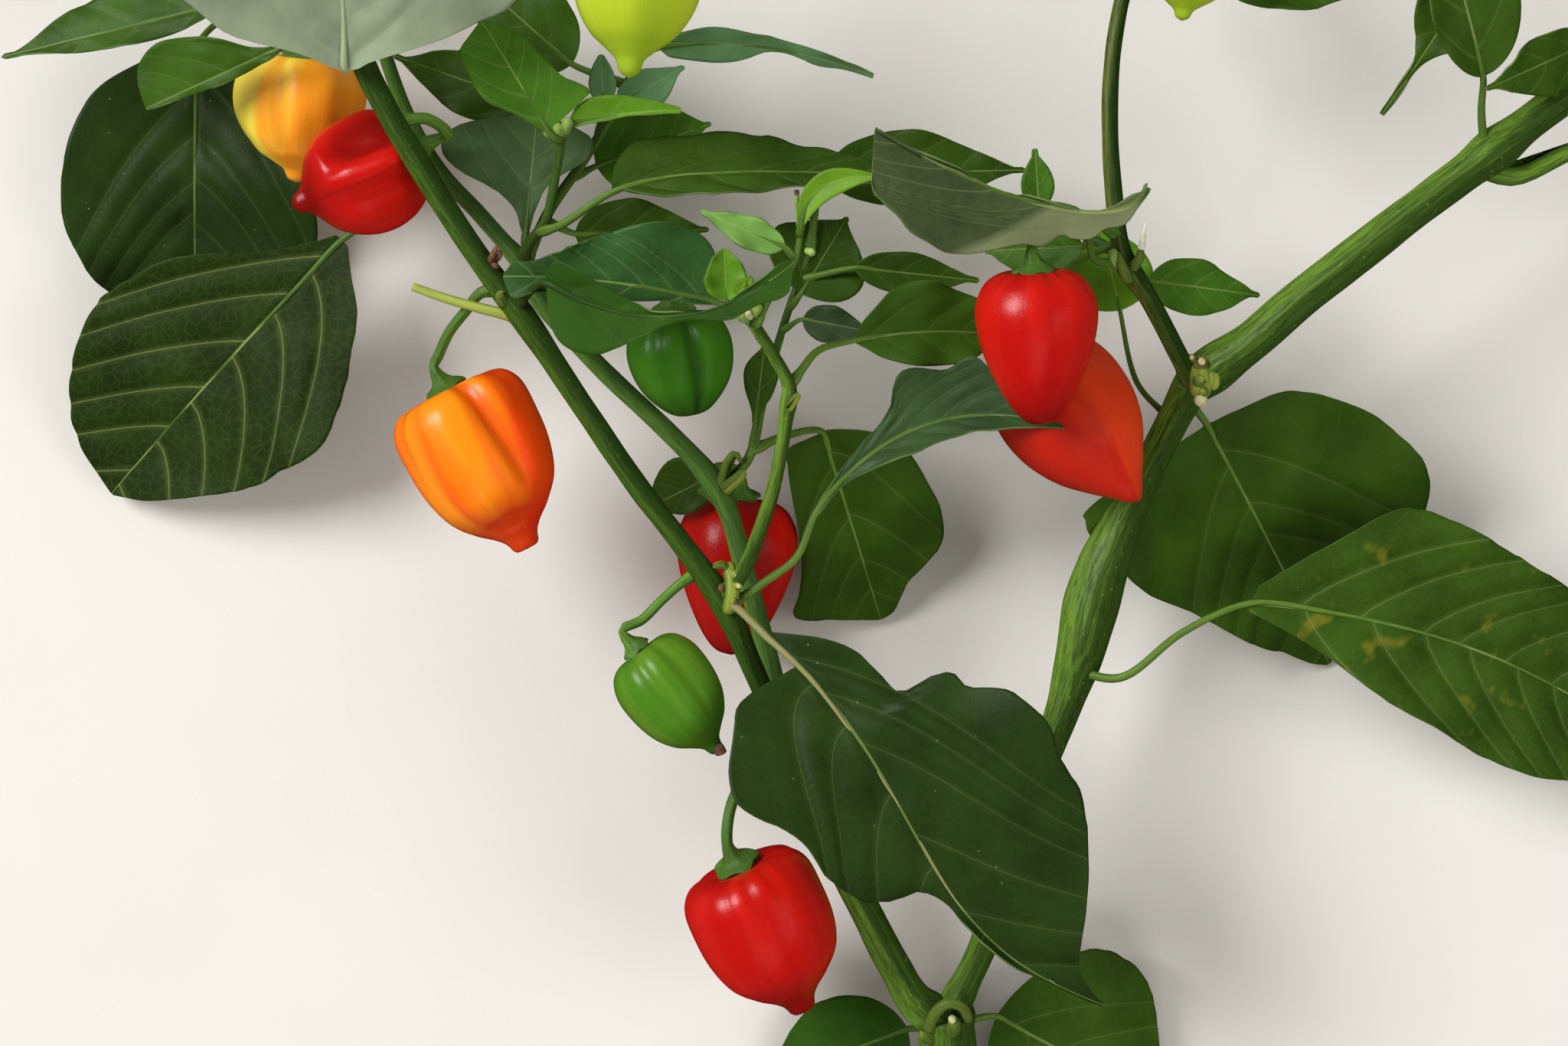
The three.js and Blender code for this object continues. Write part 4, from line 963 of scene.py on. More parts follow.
def half_width(leaf, share, side):
    """Half the blade's width, in millimetres, at a share of its length."""
    share = clamp(share)
    if "edge" in leaf:
        half = edge_width(leaf["edge"][side], share)
        ragged = leaf.get("ragged", RAGGED)
    else:
        power = math.log(0.5) / math.log(sided(leaf["widest"], side))
        tip = BLUNT if leaf["blunt"] else POINTED
        exponent = mix(sided(leaf["breadth"], side), tip, smooth(share, 0.3, 1))
        half = leaf["half"][side] * abs(math.sin(math.pi * share**power)) ** exponent
        ragged = 1
    along = share * leaf["length"]
    seed = leaf["seed"] + 40 * side
    uneven = sum(a * noise.noise(Vector((along / b, seed, layer))) for a, b, layer in RAGS)
    return max(TIP_HALF * smooth(1 - share, 0, 0.02) + 0.12, half * (1 + ragged * uneven))


def leaf_axes(leaf):
    """The directions out of a leaf's upper face and to its left, square to its chord."""
    along = (place(leaf["tip"]) - place(leaf["base"])).normalized()
    up = upright(along)
    turn = math.radians(leaf["roll"])
    up = up * math.cos(turn) + along.cross(up) * math.sin(turn)
    return up, up.cross(along)


def blade_point(leaf, share, across):
    """A point of the blade's middle surface. share runs from base to tip, across from -1 at the
    right margin to 1 at the left one."""
    up, left = leaf["axes"]
    side = 0 if across > 0 else 1
    hump = 4 * share * (1 - share)
    spread = abs(across)
    half = spread * half_width(leaf, share, side)
    tilt = math.radians(sided(leaf["fold"], side))
    waves = math.sin(5 * math.pi * share + (0.6 if across > 0 else 2.4))
    rise = half * math.sin(tilt) + leaf["wave"] * spread * spread * waves * hump
    bent = share ** leaf["bend"]
    sweep = leaf["bow"] * 4 * bent * (1 - bent) + leaf["sway"] * math.sin(math.tau * share)
    sweep += math.copysign(half * math.cos(tilt), across)
    back = sided(leaf["lobe"], side) * half * (1 - smooth(share, 0.05, 0.4)) / leaf["length"]
    point = leaf["ends"][0].lerp(leaf["ends"][1], share - back)
    return point + up * (leaf["arch"] * hump + rise) + left * sweep


def vein_count(leaf, share, reach, side):
    """How many side veins lie between the base and a spot. A vein runs where it is whole."""
    wide = max(4.0, leaf["half"][side])
    lean = sided(leaf["lean"], side) + sided(leaf["curl"], side) * reach / wide
    start = share - lean * reach / leaf["length"]
    starts = leaf["laterals"][side]
    i = bisect_right(starts, start)
    low = starts[i - 1] if i else starts[0] - VEIN_GAP
    high = starts[i] if i < len(starts) else starts[-1] + VEIN_GAP
    return i + (start - low) / (high - low)


def midrib_half(leaf, share):
    """Half the width of a leaf's midrib, in millimetres."""
    return min(1, 0.35 + leaf["length"] / 80) * mix(0.42, 0.1, share)


def blade_relief(leaf, share, reach, side, sizes):
    """Height of the upper face over the middle surface: panels that puff up between the veins,
    the veins sunk between them and a soft unevenness."""
    count = vein_count(leaf, share, reach, side)
    gap = 0.8 * leaf["length"] / len(leaf["laterals"][side])
    from_vein = abs(count - round(count)) * gap
    size = min(1.0, leaf["length"] / 70)
    inner = smooth(reach, 0.3, 3.0) * smooth(leaf["half"][side] - reach, -2, 4)
    grown = smooth(count, 0.2, 0.9) * smooth(len(leaf["laterals"][side]) + 0.8 - count, 0, 0.5)
    valley = leaf["quilt"] * sizes["quilt"] * bump(from_vein, 0, max(1.8, 0.26 * gap))
    height = -inner * size * grown * (valley + sizes["vein"] * bump(from_vein, 0, 1.2))
    height -= size * sizes["midrib"] * bump(reach, 0, 1.1) * (1 - share)
    spot = Vector((share * leaf["length"], reach * (1 - 2 * side), leaf["seed"]))
    height += 0.9 * size * noise.noise(spot / 16) + 0.12 * noise.noise(spot / 4)
    return height


def grow_blade(bm, leaf, sizes, materials=(0, 1)):
    """Adds a leaf's blade: a flat grid bent to its surface, with the veins' relief, thickened
    downwards. The upper face takes the first material, the underside and rim the second."""
    spots = bm.verts.layers.float_vector["spot"]
    veins, lay = bm.loops.layers.uv["veins"], bm.loops.layers.uv["blade"]
    cell = sizes["cell"]
    rows = max(10, round(leaf["length"] / cell))
    columns = 2 * max(4, round(max(leaf["half"]) / cell))
    verts = bmesh.ops.create_grid(bm, x_segments=rows, y_segments=columns, size=0.5)["verts"]
    upper = list({face for vert in verts for face in vert.link_faces})
    for vert in verts:
        share = 0.5 + 0.5 * math.sin(math.pi * vert.co.x)
        across = 2 * vert.co.y
        vert[spots] = (share, across, 0)
        vert.co = blade_point(leaf, share, across)
    for face in upper:
        face.normal_update()
    for vert in verts:
        vert.normal_update()
    for vert in verts:
        share, across, _ = vert[spots]
        side = 0 if across > 0 else 1
        reach = abs(across) * half_width(leaf, share, side)
        vert.co += vert.normal * blade_relief(leaf, share, reach, side, sizes)
    made = bmesh.ops.solidify(bm, geom=upper, thickness=sizes["blade"])["geom"]
    under = [part for part in made if isinstance(part, bmesh.types.BMFace)]
    rim = {face for face in upper for edge in face.edges for face in edge.link_faces}
    under = list(set(under) | (rim - set(upper)))
    for face in upper:
        face.material_index = materials[0]
    for face in under:
        face.material_index = materials[1]
    for face in (*upper, *under):
        side = 0 if sum(vert[spots].y for vert in face.verts) > 0 else 1
        for loop in face.loops:
            share, across, _ = loop.vert[spots]
            reach = abs(across) * half_width(leaf, share, side)
            loop[veins].uv = (vein_count(leaf, share, reach, side), reach / midrib_half(leaf, share))
            loop[lay].uv = (share * leaf["length"], reach * (1 - 2 * side))


def ready_leaf(leaf, seed):
    """Fills in what a leaf's other rules read: its ends, length, axes, seed and side veins."""
    leaf = {**USUAL_BLADE, **leaf}
    ends = (place(leaf["base"]), place(leaf["tip"]))
    length = (ends[1] - ends[0]).length
    draw = drawer(round(97 * seed) + 5)
    count = round(clamp(length / VEIN_SPACING, 3, 7))
    spread = [
        [0.09 + 0.78 * (i + 0.4 * next(draw)) / count for i in range(count)] for _ in range(2)
    ]
    found = dict(ends=ends, length=length, axes=leaf_axes(leaf), seed=seed * 3.7)
    return {"laterals": spread, **leaf, **found}


def grow_leaf(bm, leaf, carrier, sizes, materials=(0, 1, 2)):
    """Adds a leaf with its petiole, which runs from the middle of what carries it to under the
    blade and on as the midrib's keel."""
    base, tip = leaf["ends"]
    root = carrier.nearest(place(leaf["root"]) if "root" in leaf else base)
    thin = min(0.85, 0.35 + leaf["length"] / 80)
    joins = leaf.get("joins")
    reach = joins or PETIOLE["reach"]
    keel = [
        blade_point(leaf, mix(reach, 0.9, part), 0) - mix(0.8, 0.45, part) * thin * leaf["axes"][0]
        for part in (0, 0.35, 0.7, 1)
    ]
    stem = [root, *(place(spot) for spot in leaf.get("via", ()))]
    if not joins:
        stem.append(base - 0.35 * thin * leaf["axes"][0])
    route = Route(stem + keel)
    meets = min(range(101), key=lambda i: (route.at(i / 100) - keel[0]).length) / 100

    def radius_at(share, angle):
        if share < meets:
            radius = mix(PETIOLE["root"], PETIOLE["end"], share / meets)
            radius *= 1 + 0.35 * bump(share * route.length, 2.5, 2.0)
        else:
            radius = mix(PETIOLE["end"], 0.2, ((share - meets) / (1 - meets)) ** 0.5)
        return thin * radius * (1 + 0.05 * math.cos(3 * angle))

    grow_blade(bm, leaf, sizes, materials[:2])
    grow_tube(bm, route, radius_at, *TUBES["petiole"], material=materials[2])


def spiral_leaves(route, spiral):
    """Leaves that spiral round a shoot, shorter towards its tip, and lean out and down."""
    draw = drawer(spiral["seed"])
    frames = route.frames(max(1, spiral["count"]))
    leaves = []
    for i in range(spiral["count"]):
        share = (i + 0.8) / spiral["count"]
        turn = i * GOLDEN_ANGLE + next(draw) * 0.6
        heading, normal, other = frames[i]
        out = math.cos(turn) * normal + math.sin(turn) * other + (0.7 + 0.6 * share) * heading
        out.normalize()
        reach = spiral["length"] * (1 - 0.35 * share) * (0.85 + 0.3 * next(draw))
        width = reach * (0.26 + 0.05 * next(draw))
        root = route.at(share)
        tip = root + out * reach
        tip.z = max(LOWEST_LEAF, tip.z - 0.25 * reach)
        base = seen(root + out * 0.25 * reach)
        leaves.append(
            dict(root=seen(root), base=base, tip=seen(tip), half=(width, width), fold=10, wave=0.8)
        )
    return leaves


def pod_spot(pod, profile, row, angle):
    """A point of a pod's skin and how deep it lies in a groove, crease or dent, which the skin darkens
    as painted shade.
    """
    down, side, other = pod["axes"]
    spot = profile.at(row)
    valley = abs(math.cos(pod["lobes"] * angle / 2 + pod["turn"])) ** 5
    body = math.sin(math.pi * min(1, row * 1.15)) ** 0.7 if row < 0.87 else 0
    valley *= body * pod["grooves"]
    groove = GROOVE["wrinkled" if pod["wrinkled"] else "fresh"]
    shrink = 1 - groove * valley
    swell = 0.035 * noise.noise(Vector((math.cos(angle), math.sin(angle), 3 * row)) + pod["drift"])
    if pod["wrinkled"]:
        where = Vector((2.2 * math.cos(angle), 2.2 * math.sin(angle), 6 * row)) + pod["drift"]
        swell += 0.07 * noise.noise(where) * math.sin(math.pi * row)
    radius = pod["radius"] * spot.x * (shrink + swell * math.sin(math.pi * row))
    sunk = 0
    for start, end, low, high, depth, width in pod["creases"]:
        run = clamp((row - low) / (high - low))
        off = math.remainder(angle - math.radians(mix(start, end, run)), math.tau)
        sunk += depth * bump(off, 0, math.radians(width)) * math.sin(math.pi * run) ** 0.7
    for at, turned, depth, long, wide in pod["dents"]:
        off = math.remainder(angle - math.radians(turned), math.tau)
        near = ((row - at) / long) ** 2 + (off / math.radians(wide)) ** 2
        sunk += depth * math.exp(-near * near)
    radius -= sunk * min(1, 1.6 * spot.x)
    point = pod["top"] + down * spot.y * pod["length"]
    point += radius * (side * math.cos(angle) + other * math.sin(angle))
    return point, clamp(valley + sunk / 2.5)


def grow_pod(bm, pod, segments=88, rings=64):
    """Adds a pod: a ball bent to its outline, with grooves between its lobes."""
    grain = bm.verts.layers.float_vector["grain"]
    ripe = bm.verts.layers.float["ripe"]
    profile = Route([Vector((r, a, 0)) for r, a in POD_OUTLINES[pod["shape"]]])
    made = bmesh.ops.create_uvsphere(bm, u_segments=segments, v_segments=rings, radius=1)
    for vert in made["verts"]:
        row = math.acos(clamp(vert.co.z, -1, 1)) / math.pi
        angle = math.atan2(vert.co.y, vert.co.x) if 0 < row < 1 else 0
        vert.co, valley = pod_spot(pod, profile, row, angle)
        vert[grain] = (math.cos(angle), math.sin(angle), row)
        # how deep the point lies in a groove, kept for the painted shade there
        vert[ripe] = valley
    bmesh.ops.recalc_face_normals(bm, faces=bm.faces)


def ready_pod(name, pod):
    """Fills in a pod's ends, length and axes: down from crown to tip, up across it and aside. Its
    tilt lifts the crown towards the viewer."""
    pod = {**USUAL_POD, **pod}
    top, tip = place(pod["crown"]), place(pod["tip"])
    up = upright((tip - top).normalized())
    lift = up * (tip - top).length / 2 * math.sin(math.radians(pod["tilt"]))
    top, tip = top + lift, tip - lift
    down = (tip - top).normalized()
    up = upright(down)
    drift = Vector((sum(map(ord, name)) % 17, len(name), 0.5))
    extra = dict(axes=(down, up, down.cross(up)), top=top, length=(tip - top).length, drift=drift)
    return {**pod, **extra}


def grow_stalk(bm, pod, carrier):
    """Adds a pod's stalk: the ribbed pedicel, and the calyx that it flares into, whose five
    blunt teeth lie on the crown. The calyx leans towards the viewer by the pod's face angle."""
    lean = math.radians(pod["face"])
    over_crown = CLEARANCE + 0.02 * pod["radius"] + abs(CALYX["radius"] * math.sin(lean))
    crown = pod["top"] - over_crown * pod["axes"][0]
    down = pod["axes"][0] * math.cos(lean) - pod["axes"][1] * math.sin(lean)
    neck = crown - down * CALYX["depth"]
    root = carrier.nearest(place(pod["root"]))
    route = Route([root, *(place(spot) for spot in pod["via"]), neck, crown])
    size, slim = pod["calyx"], pod["slim"]
    rim = 1.1 * CALYX["radius"] * size
    # the calyx: how far each ring lies before the crown, as a share of the depth, and its radius
    flare = [(1, 1.5 * slim), (0.7, 1.7), (0.45, 2.2), (0.28, 2.9), (0.17, 3.8)]
    rings = [(-share * CALYX["depth"], radius * max(0.7, size)) for share, radius in flare]
    rings += [(-0.35, 0.86 * rim), (-0.1, 0.97 * rim), (0.2, rim), (0.65, 0.97 * rim), (0.7, 0.6 * rim)]
    before = max(4, round((route.length - CALYX["depth"]) / STALK_STEP))
    frames = route.frames(before + len(rings) * 4)
    spots = []
    for i in range(before):
        along = (route.length - CALYX["depth"]) * i / before
        swell = 1 + 0.3 * bump(along, 3.0, 2.2)
        spots.append((along, slim * swell * PEDICEL, 0.0))
    spots += [(route.length + at, radius, smooth(radius, 0.5 * rim, rim)) for at, radius in rings]
    last = len(frames) - 1

    def point_at(i, angle):
        along, radius, tooth = spots[i]
        over = max(0.0, along - route.length)
        share = min(1, along / route.length)
        _, normal, other = frames[round(share * last)]
        turned = TEETH * angle
        ribs = 1 + 0.07 * math.cos(turned) * (1 - tooth) + 0.08 * math.cos(turned + 0.4) * tooth
        across = math.cos(angle) * normal + math.sin(angle) * other
        dip = 0.3 * tooth * math.cos(turned + 0.4)
        point = route.at(share) + down * (over + dip) + across * radius * ribs
        return point, (radius * math.cos(angle), radius * math.sin(angle), along)

    roll_up(bm, len(spots) - 1, STALK_SIDES, point_at)


def linear(code):
    """An sRGB hex colour as linear red, green and blue."""
    parts = [int(code[i : i + 2], 16) / 255 for i in (1, 3, 5)]
    return tuple(c / 12.92 if c <= 0.04045 else ((c + 0.055) / 1.055) ** 2.4 for c in parts)


def add(tree, kind, inputs=None, **settings):
    """Adds a node with its settings, feeds its inputs from sockets or plain values, and returns
    its outputs."""
    made = tree.nodes.new("ShaderNode" + kind)
    for name, value in settings.items():
        setattr(made, name, value)
    for key, value in (inputs or {}).items():
        if isinstance(value, bpy.types.NodeSocket):
            tree.links.new(value, made.inputs[key])
        else:
            made.inputs[key].default_value = value
    return made.outputs


def shade(colour, factor=1):
    """A colour made darker or lighter, with the alpha that a socket needs."""
    return (*(min(1.0, c * factor) for c in colour), 1.0)


def new_material(name):
    material = bpy.data.materials.new(name)
    material.use_nodes = True
    material.node_tree.nodes.clear()
    return material.node_tree


def end_finish(tree, colour, rough, height, depth, strength, wax=None):
    """Ends a material with its shader. depth is the relief's size in millimetres, and wax the
    specular level of a skin's thin wax."""
    bumps = {"Height": height, "Distance": depth * MM, "Strength": strength}
    inputs = {"Base Color": colour, "Roughness": rough, "Normal": add(tree, "Bump", bumps)[0]}
    if wax:
        inputs |= {"IOR": WAX_IOR, "Specular IOR Level": wax}
    add(tree, "OutputMaterial", {0: add(tree, "BsdfPrincipled", inputs)[0]})


def leaf_finish(name, blade, vein, rough, show, specks=0.0, blotches=0.0, turned=None):
    """A chilli leaf's waxy skin: it is satin, a little lighter along its pale veins, with a fine
    net of small veins between them. specks are dust and blotches yellowing. Past the line told by
    turned, a place on the midrib and a slope, the leaf shows its paler back."""
    tree = new_material(name)
    counted, laid = (add(tree, "UVMap", uv_map=layer)[0] for layer in ("veins", "blade"))
    count, reach, _ = add(tree, "SeparateXYZ", {0: counted})
    scale = {pattern: 1 / size for pattern, size in LEAF_PATTERN.items()}
    patch = add(tree, "TexNoise", {"Vector": laid, "Scale": scale["patch"], "Detail": 4.0})[0]
    patch = add(tree, "MapRange", {0: patch, 1: 0.35, 2: 0.65})[0]
    tones = {0: patch, 6: shade(blade, 0.8), 7: shade(blade, 1.25)}
    colour = add(tree, "Mix", tones, data_type="RGBA")[2]
    if turned:
        foot, slope = turned
        along, across, _ = add(tree, "SeparateXYZ", {0: laid})
        across = add(tree, "Math", {0: across}, operation="ABSOLUTE")[0]
        past = add(tree, "Math", {0: across, 1: -slope, 2: along}, operation="MULTIPLY_ADD")[0]
        past = add(tree, "MapRange", {0: past, 1: foot - 1.5, 2: foot + 1.5, 3: 1.0, 4: 0.0})[0]
        back = {0: past, 6: colour, 7: shade(linear(LEAF_BACK))}
        colour = add(tree, "Mix", back, data_type="RGBA")[2]
    cells = {"Vector": laid, "Scale": scale["net"]}
    net = add(tree, "TexVoronoi", cells, feature="DISTANCE_TO_EDGE")[0]
    net = add(tree, "MapRange", {0: net, 1: 0.0, 2: 0.1, 3: 1.0, 4: 0.0})[0]
    # side veins run where the count is whole, each in a soft halo
    off = add(tree, "Math", {0: count, 1: 0.5}, operation="PINGPONG")[0]
    grown = add(tree, "MapRange", {0: count, 1: 0.5, 2: 0.9})[0]
    halo = add(tree, "MapRange", {0: off, 1: 0.0, 2: 0.13, 3: 1.0, 4: 0.0})[0]
    halo = add(tree, "Math", {0: halo, 1: grown}, operation="MULTIPLY")[0]
    side = add(tree, "MapRange", {0: off, 1: 0.005, 2: 0.022, 3: 1.0, 4: 0.0})[0]
    side = add(tree, "Math", {0: side, 1: grown}, operation="MULTIPLY")[0]
    # halo, net and side veins are laid over the blade in turn
    for share, strength, tone in ((halo, 0.3 * show, 0.9), (net, 0.12 * show, 1), (side, show, 1)):
        shown = add(tree, "Math", {0: share, 1: strength}, operation="MULTIPLY")[0]
        colour = add(tree, "Mix", {0: shown, 6: colour, 7: shade(vein, tone)}, data_type="RGBA")[2]
    midrib = add(tree, "MapRange", {0: reach, 1: 0.7, 2: 1.2, 3: min(0.8, 0.3 + show), 4: 0.0})[0]
    colour = add(tree, "Mix", {0: midrib, 6: colour, 7: shade(vein, 1.1)}, data_type="RGBA")[2]
    if specks:
        dots = add(tree, "TexVoronoi", {"Vector": laid, "Scale": scale["speck"]})
        chosen = add(tree, "SeparateXYZ", {0: dots["Color"]})[0]
        chosen = add(tree, "MapRange", {0: chosen, 1: 0.55, 2: 0.6})[0]
        dot = add(tree, "MapRange", {0: dots["Distance"], 1: 0.03, 2: 0.08, 3: specks, 4: 0.0})[0]
        dot = add(tree, "Math", {0: dot, 1: chosen}, operation="MULTIPLY")[0]
        dusty = {0: dot, 6: colour, 7: shade(linear(DUST))}
        colour = add(tree, "Mix", dusty, data_type="RGBA")[2]
    if blotches:
        where = add(tree, "TexNoise", {"Vector": laid, "Scale": scale["blotch"], "Detail": 3.0})[0]
        where = add(tree, "MapRange", {0: where, 1: 0.6, 2: 0.7, 3: 0.0, 4: blotches})[0]
        yellowed = {0: where, 6: colour, 7: shade(linear(YELLOWED))}
        colour = add(tree, "Mix", yellowed, data_type="RGBA")[2]
    # the skin's grain, drawn coarser than life so that it shows
    fine = add(tree, "TexNoise", {"Vector": laid, "Scale": scale["grain"], "Detail": 2.0})[0]
    relief = add(tree, "Math", {0: net, 1: -0.25, 2: fine}, operation="MULTIPLY_ADD")[0]
    relief = add(tree, "Math", {0: side, 1: -0.8, 2: relief}, operation="MULTIPLY_ADD")[0]
    gloss = add(tree, "MapRange", {0: fine, 1: 0.3, 2: 0.7, 3: rough - 0.04, 4: rough + 0.06})[0]
    end_finish(tree, colour, gloss, relief, 0.1, 0.4, wax=0.17)


def stem_finish(name, light, dark, rough, contrast=1.0, warts=0.5):
    """A green pepper stem's skin: satin, painted light makes one flank yellow-green and painted
    shade the other dark green, with long dark streaks that follow it and small pale warts."""
    tree = new_material(name)
    grain = add(tree, "Attribute", attribute_name="grain")["Vector"]
    # streaks 1 mm wide and 30 mm long
    long = add(tree, "VectorMath", {0: grain, 1: (0.9, 0.9, 0.035)}, operation="MULTIPLY")[0]
    streak = add(tree, "TexNoise", {"Vector": long, "Scale": 1.0, "Detail": 3.0})[0]
    # painted light and shade: one flank is made lighter as if lit and the other darker as if shaded,
    # broken up by the streaks
    flat = add(tree, "VectorMath", {0: grain, 1: (1, 1, 0)}, operation="MULTIPLY")[0]
    flat = add(tree, "VectorMath", {0: flat}, operation="NORMALIZE")[0]
    _, flank, _ = add(tree, "SeparateXYZ", {0: flat})
    flank = add(tree, "Math", {0: streak, 1: 3.0, 2: flank}, operation="MULTIPLY_ADD")[0]
    flank = add(tree, "MapRange", {0: flank, 1: 0.35, 2: 1.9}, interpolation_type="SMOOTHSTEP")[0]
    flank = add(tree, "Math", {0: flank, 1: contrast}, operation="MULTIPLY")[0]
    colour = add(tree, "Mix", {0: flank, 6: shade(light), 7: shade(dark)}, data_type="RGBA")[2]
    # thin dark lines between the ribs
    thin = add(tree, "VectorMath", {0: grain, 1: (2.2, 2.2, 0.22)}, operation="MULTIPLY")[0]
    line = add(tree, "TexNoise", {"Vector": thin, "Scale": 1.0, "Detail": 2.0})[0]
    lined = add(tree, "MapRange", {0: line, 1: 0.5, 2: 0.66, 3: 0.0, 4: 0.6 * contrast})[0]
    colour = add(tree, "Mix", {0: lined, 6: colour, 7: shade(dark, 0.6)}, data_type="RGBA")[2]
    # warts, one to about 3 mm
    spots = add(tree, "VectorMath", {0: grain, 1: (0.5, 0.5, 0.3)}, operation="MULTIPLY")[0]
    wart = add(tree, "TexVoronoi", {"Vector": spots, "Scale": 1.0})["Distance"]
    wart = add(tree, "MapRange", {0: wart, 1: 0.06, 2: 0.14, 3: warts, 4: 0.0})[0]
    colour = add(tree, "Mix", {0: wart, 6: colour, 7: shade(light, 1.5)}, data_type="RGBA")[2]
    relief = add(tree, "Math", {0: wart, 1: 0.8, 2: line}, operation="MULTIPLY_ADD")[0]
    gloss = add(tree, "MapRange", {0: streak, 1: 0.3, 2: 0.7, 3: rough - 0.06, 4: rough + 0.1})[0]
    end_finish(tree, colour, gloss, relief, 0.25, 0.6, wax=0.2)


def pod_finish(name, body, deep, pale, patches, rough=0.28, facing=None, ends=(0.62, 0.95)):
    """A pepper pod's skin: a thin wax over smooth flesh, so it is glossy. Painted shade deepens its
    colour in the grooves, creases and dents and towards the tip, between the two shares of its length
    in ends. Patches are paler; facing is the angle round the pod, in degrees, that they face, and on
    the orange-red pod that paler side is painted light."""
    tree = new_material(name)
    grain = add(tree, "Attribute", attribute_name="grain")["Vector"]
    groove = add(tree, "Attribute", attribute_name="ripe")["Fac"]
    _, _, row = add(tree, "SeparateXYZ", {0: grain})
    # patches a third of the pod across
    patch = add(tree, "TexNoise", {"Vector": grain, "Scale": 1.6, "Detail": 3.0})[0]
    start = 0.45
    # facing turns the paler patches to one side; on the orange-red pod this paler side is painted light
    if facing is not None:
        ray = (math.cos(math.radians(facing)), math.sin(math.radians(facing)), 0)
        toward = add(tree, "VectorMath", {0: grain, 1: ray}, operation="DOT_PRODUCT")["Value"]
        patch = add(tree, "Math", {0: toward, 1: 0.6, 2: patch}, operation="MULTIPLY_ADD")[0]
        start = 0.8
    shown = add(tree, "MapRange", {0: patch, 1: start, 2: start + 0.3, 3: 0.0, 4: patches})[0]
    colour = add(tree, "Mix", {0: shown, 6: shade(body), 7: shade(pale)}, data_type="RGBA")[2]
    # painted shade: darker in the grooves, creases and dents and towards the tip
    tip = add(tree, "MapRange", {0: row, 1: ends[0], 2: ends[1]})[0]
    groove_and_tip_shade = add(tree, "Math", {0: groove, 1: 0.75, 2: tip}, operation="MULTIPLY_ADD")[0]
    groove_and_tip_shade = add(tree, "MapRange", {0: groove_and_tip_shade, 1: 0.1, 2: 1.0, 3: 0.0, 4: 0.85})[0]
    colour = add(tree, "Mix", {0: groove_and_tip_shade, 6: colour, 7: shade(deep)}, data_type="RGBA")[2]
    # faint lengthwise veining under the skin, and the skin's own pores
    thin = add(tree, "VectorMath", {0: grain, 1: (14, 14, 2)}, operation="MULTIPLY")[0]
    veining = add(tree, "TexNoise", {"Vector": thin, "Scale": 1.0, "Detail": 3.0})[0]
    faint = add(tree, "MapRange", {0: veining, 1: 0.5, 2: 0.8, 3: 0.0, 4: 0.15})[0]
    colour = add(tree, "Mix", {0: faint, 6: colour, 7: shade(deep, 1.1)}, data_type="RGBA")[2]
    here = add(tree, "TexCoord")["Object"]
    pores = add(tree, "TexNoise", {"Vector": here, "Scale": 1 / (PORE * MM), "Detail": 1.0})[0]
    relief = add(tree, "Math", {0: veining, 1: 1.5, 2: pores}, operation="MULTIPLY_ADD")[0]
    gloss = add(tree, "MapRange", {0: pores, 1: 0.3, 2: 0.7, 3: rough, 4: rough + 0.08})[0]
    end_finish(tree, colour, gloss, relief, 0.08, 0.5, wax=0.4)


def plain_finish(name, colour, rough, size, spread=0.25):
    """A dry or cut plant surface, or the floor's paper: matt, mottled by soft noise whose
    patches are size millimetres across."""
    tree = new_material(name)
    here = add(tree, "TexCoord")["Object"]
    patches = add(tree, "TexNoise", {"Vector": here, "Scale": 1 / (size * MM), "Detail": 4.0})[0]
    shown = add(tree, "MapRange", {0: patches, 1: 0.3, 2: 0.7})[0]
    tones = {0: shown, 6: shade(colour, 1 - spread), 7: shade(colour, 1 + spread)}
    mixed = add(tree, "Mix", tones, data_type="RGBA")[2]
    end_finish(tree, mixed, rough, patches, 0.2, 0.5)


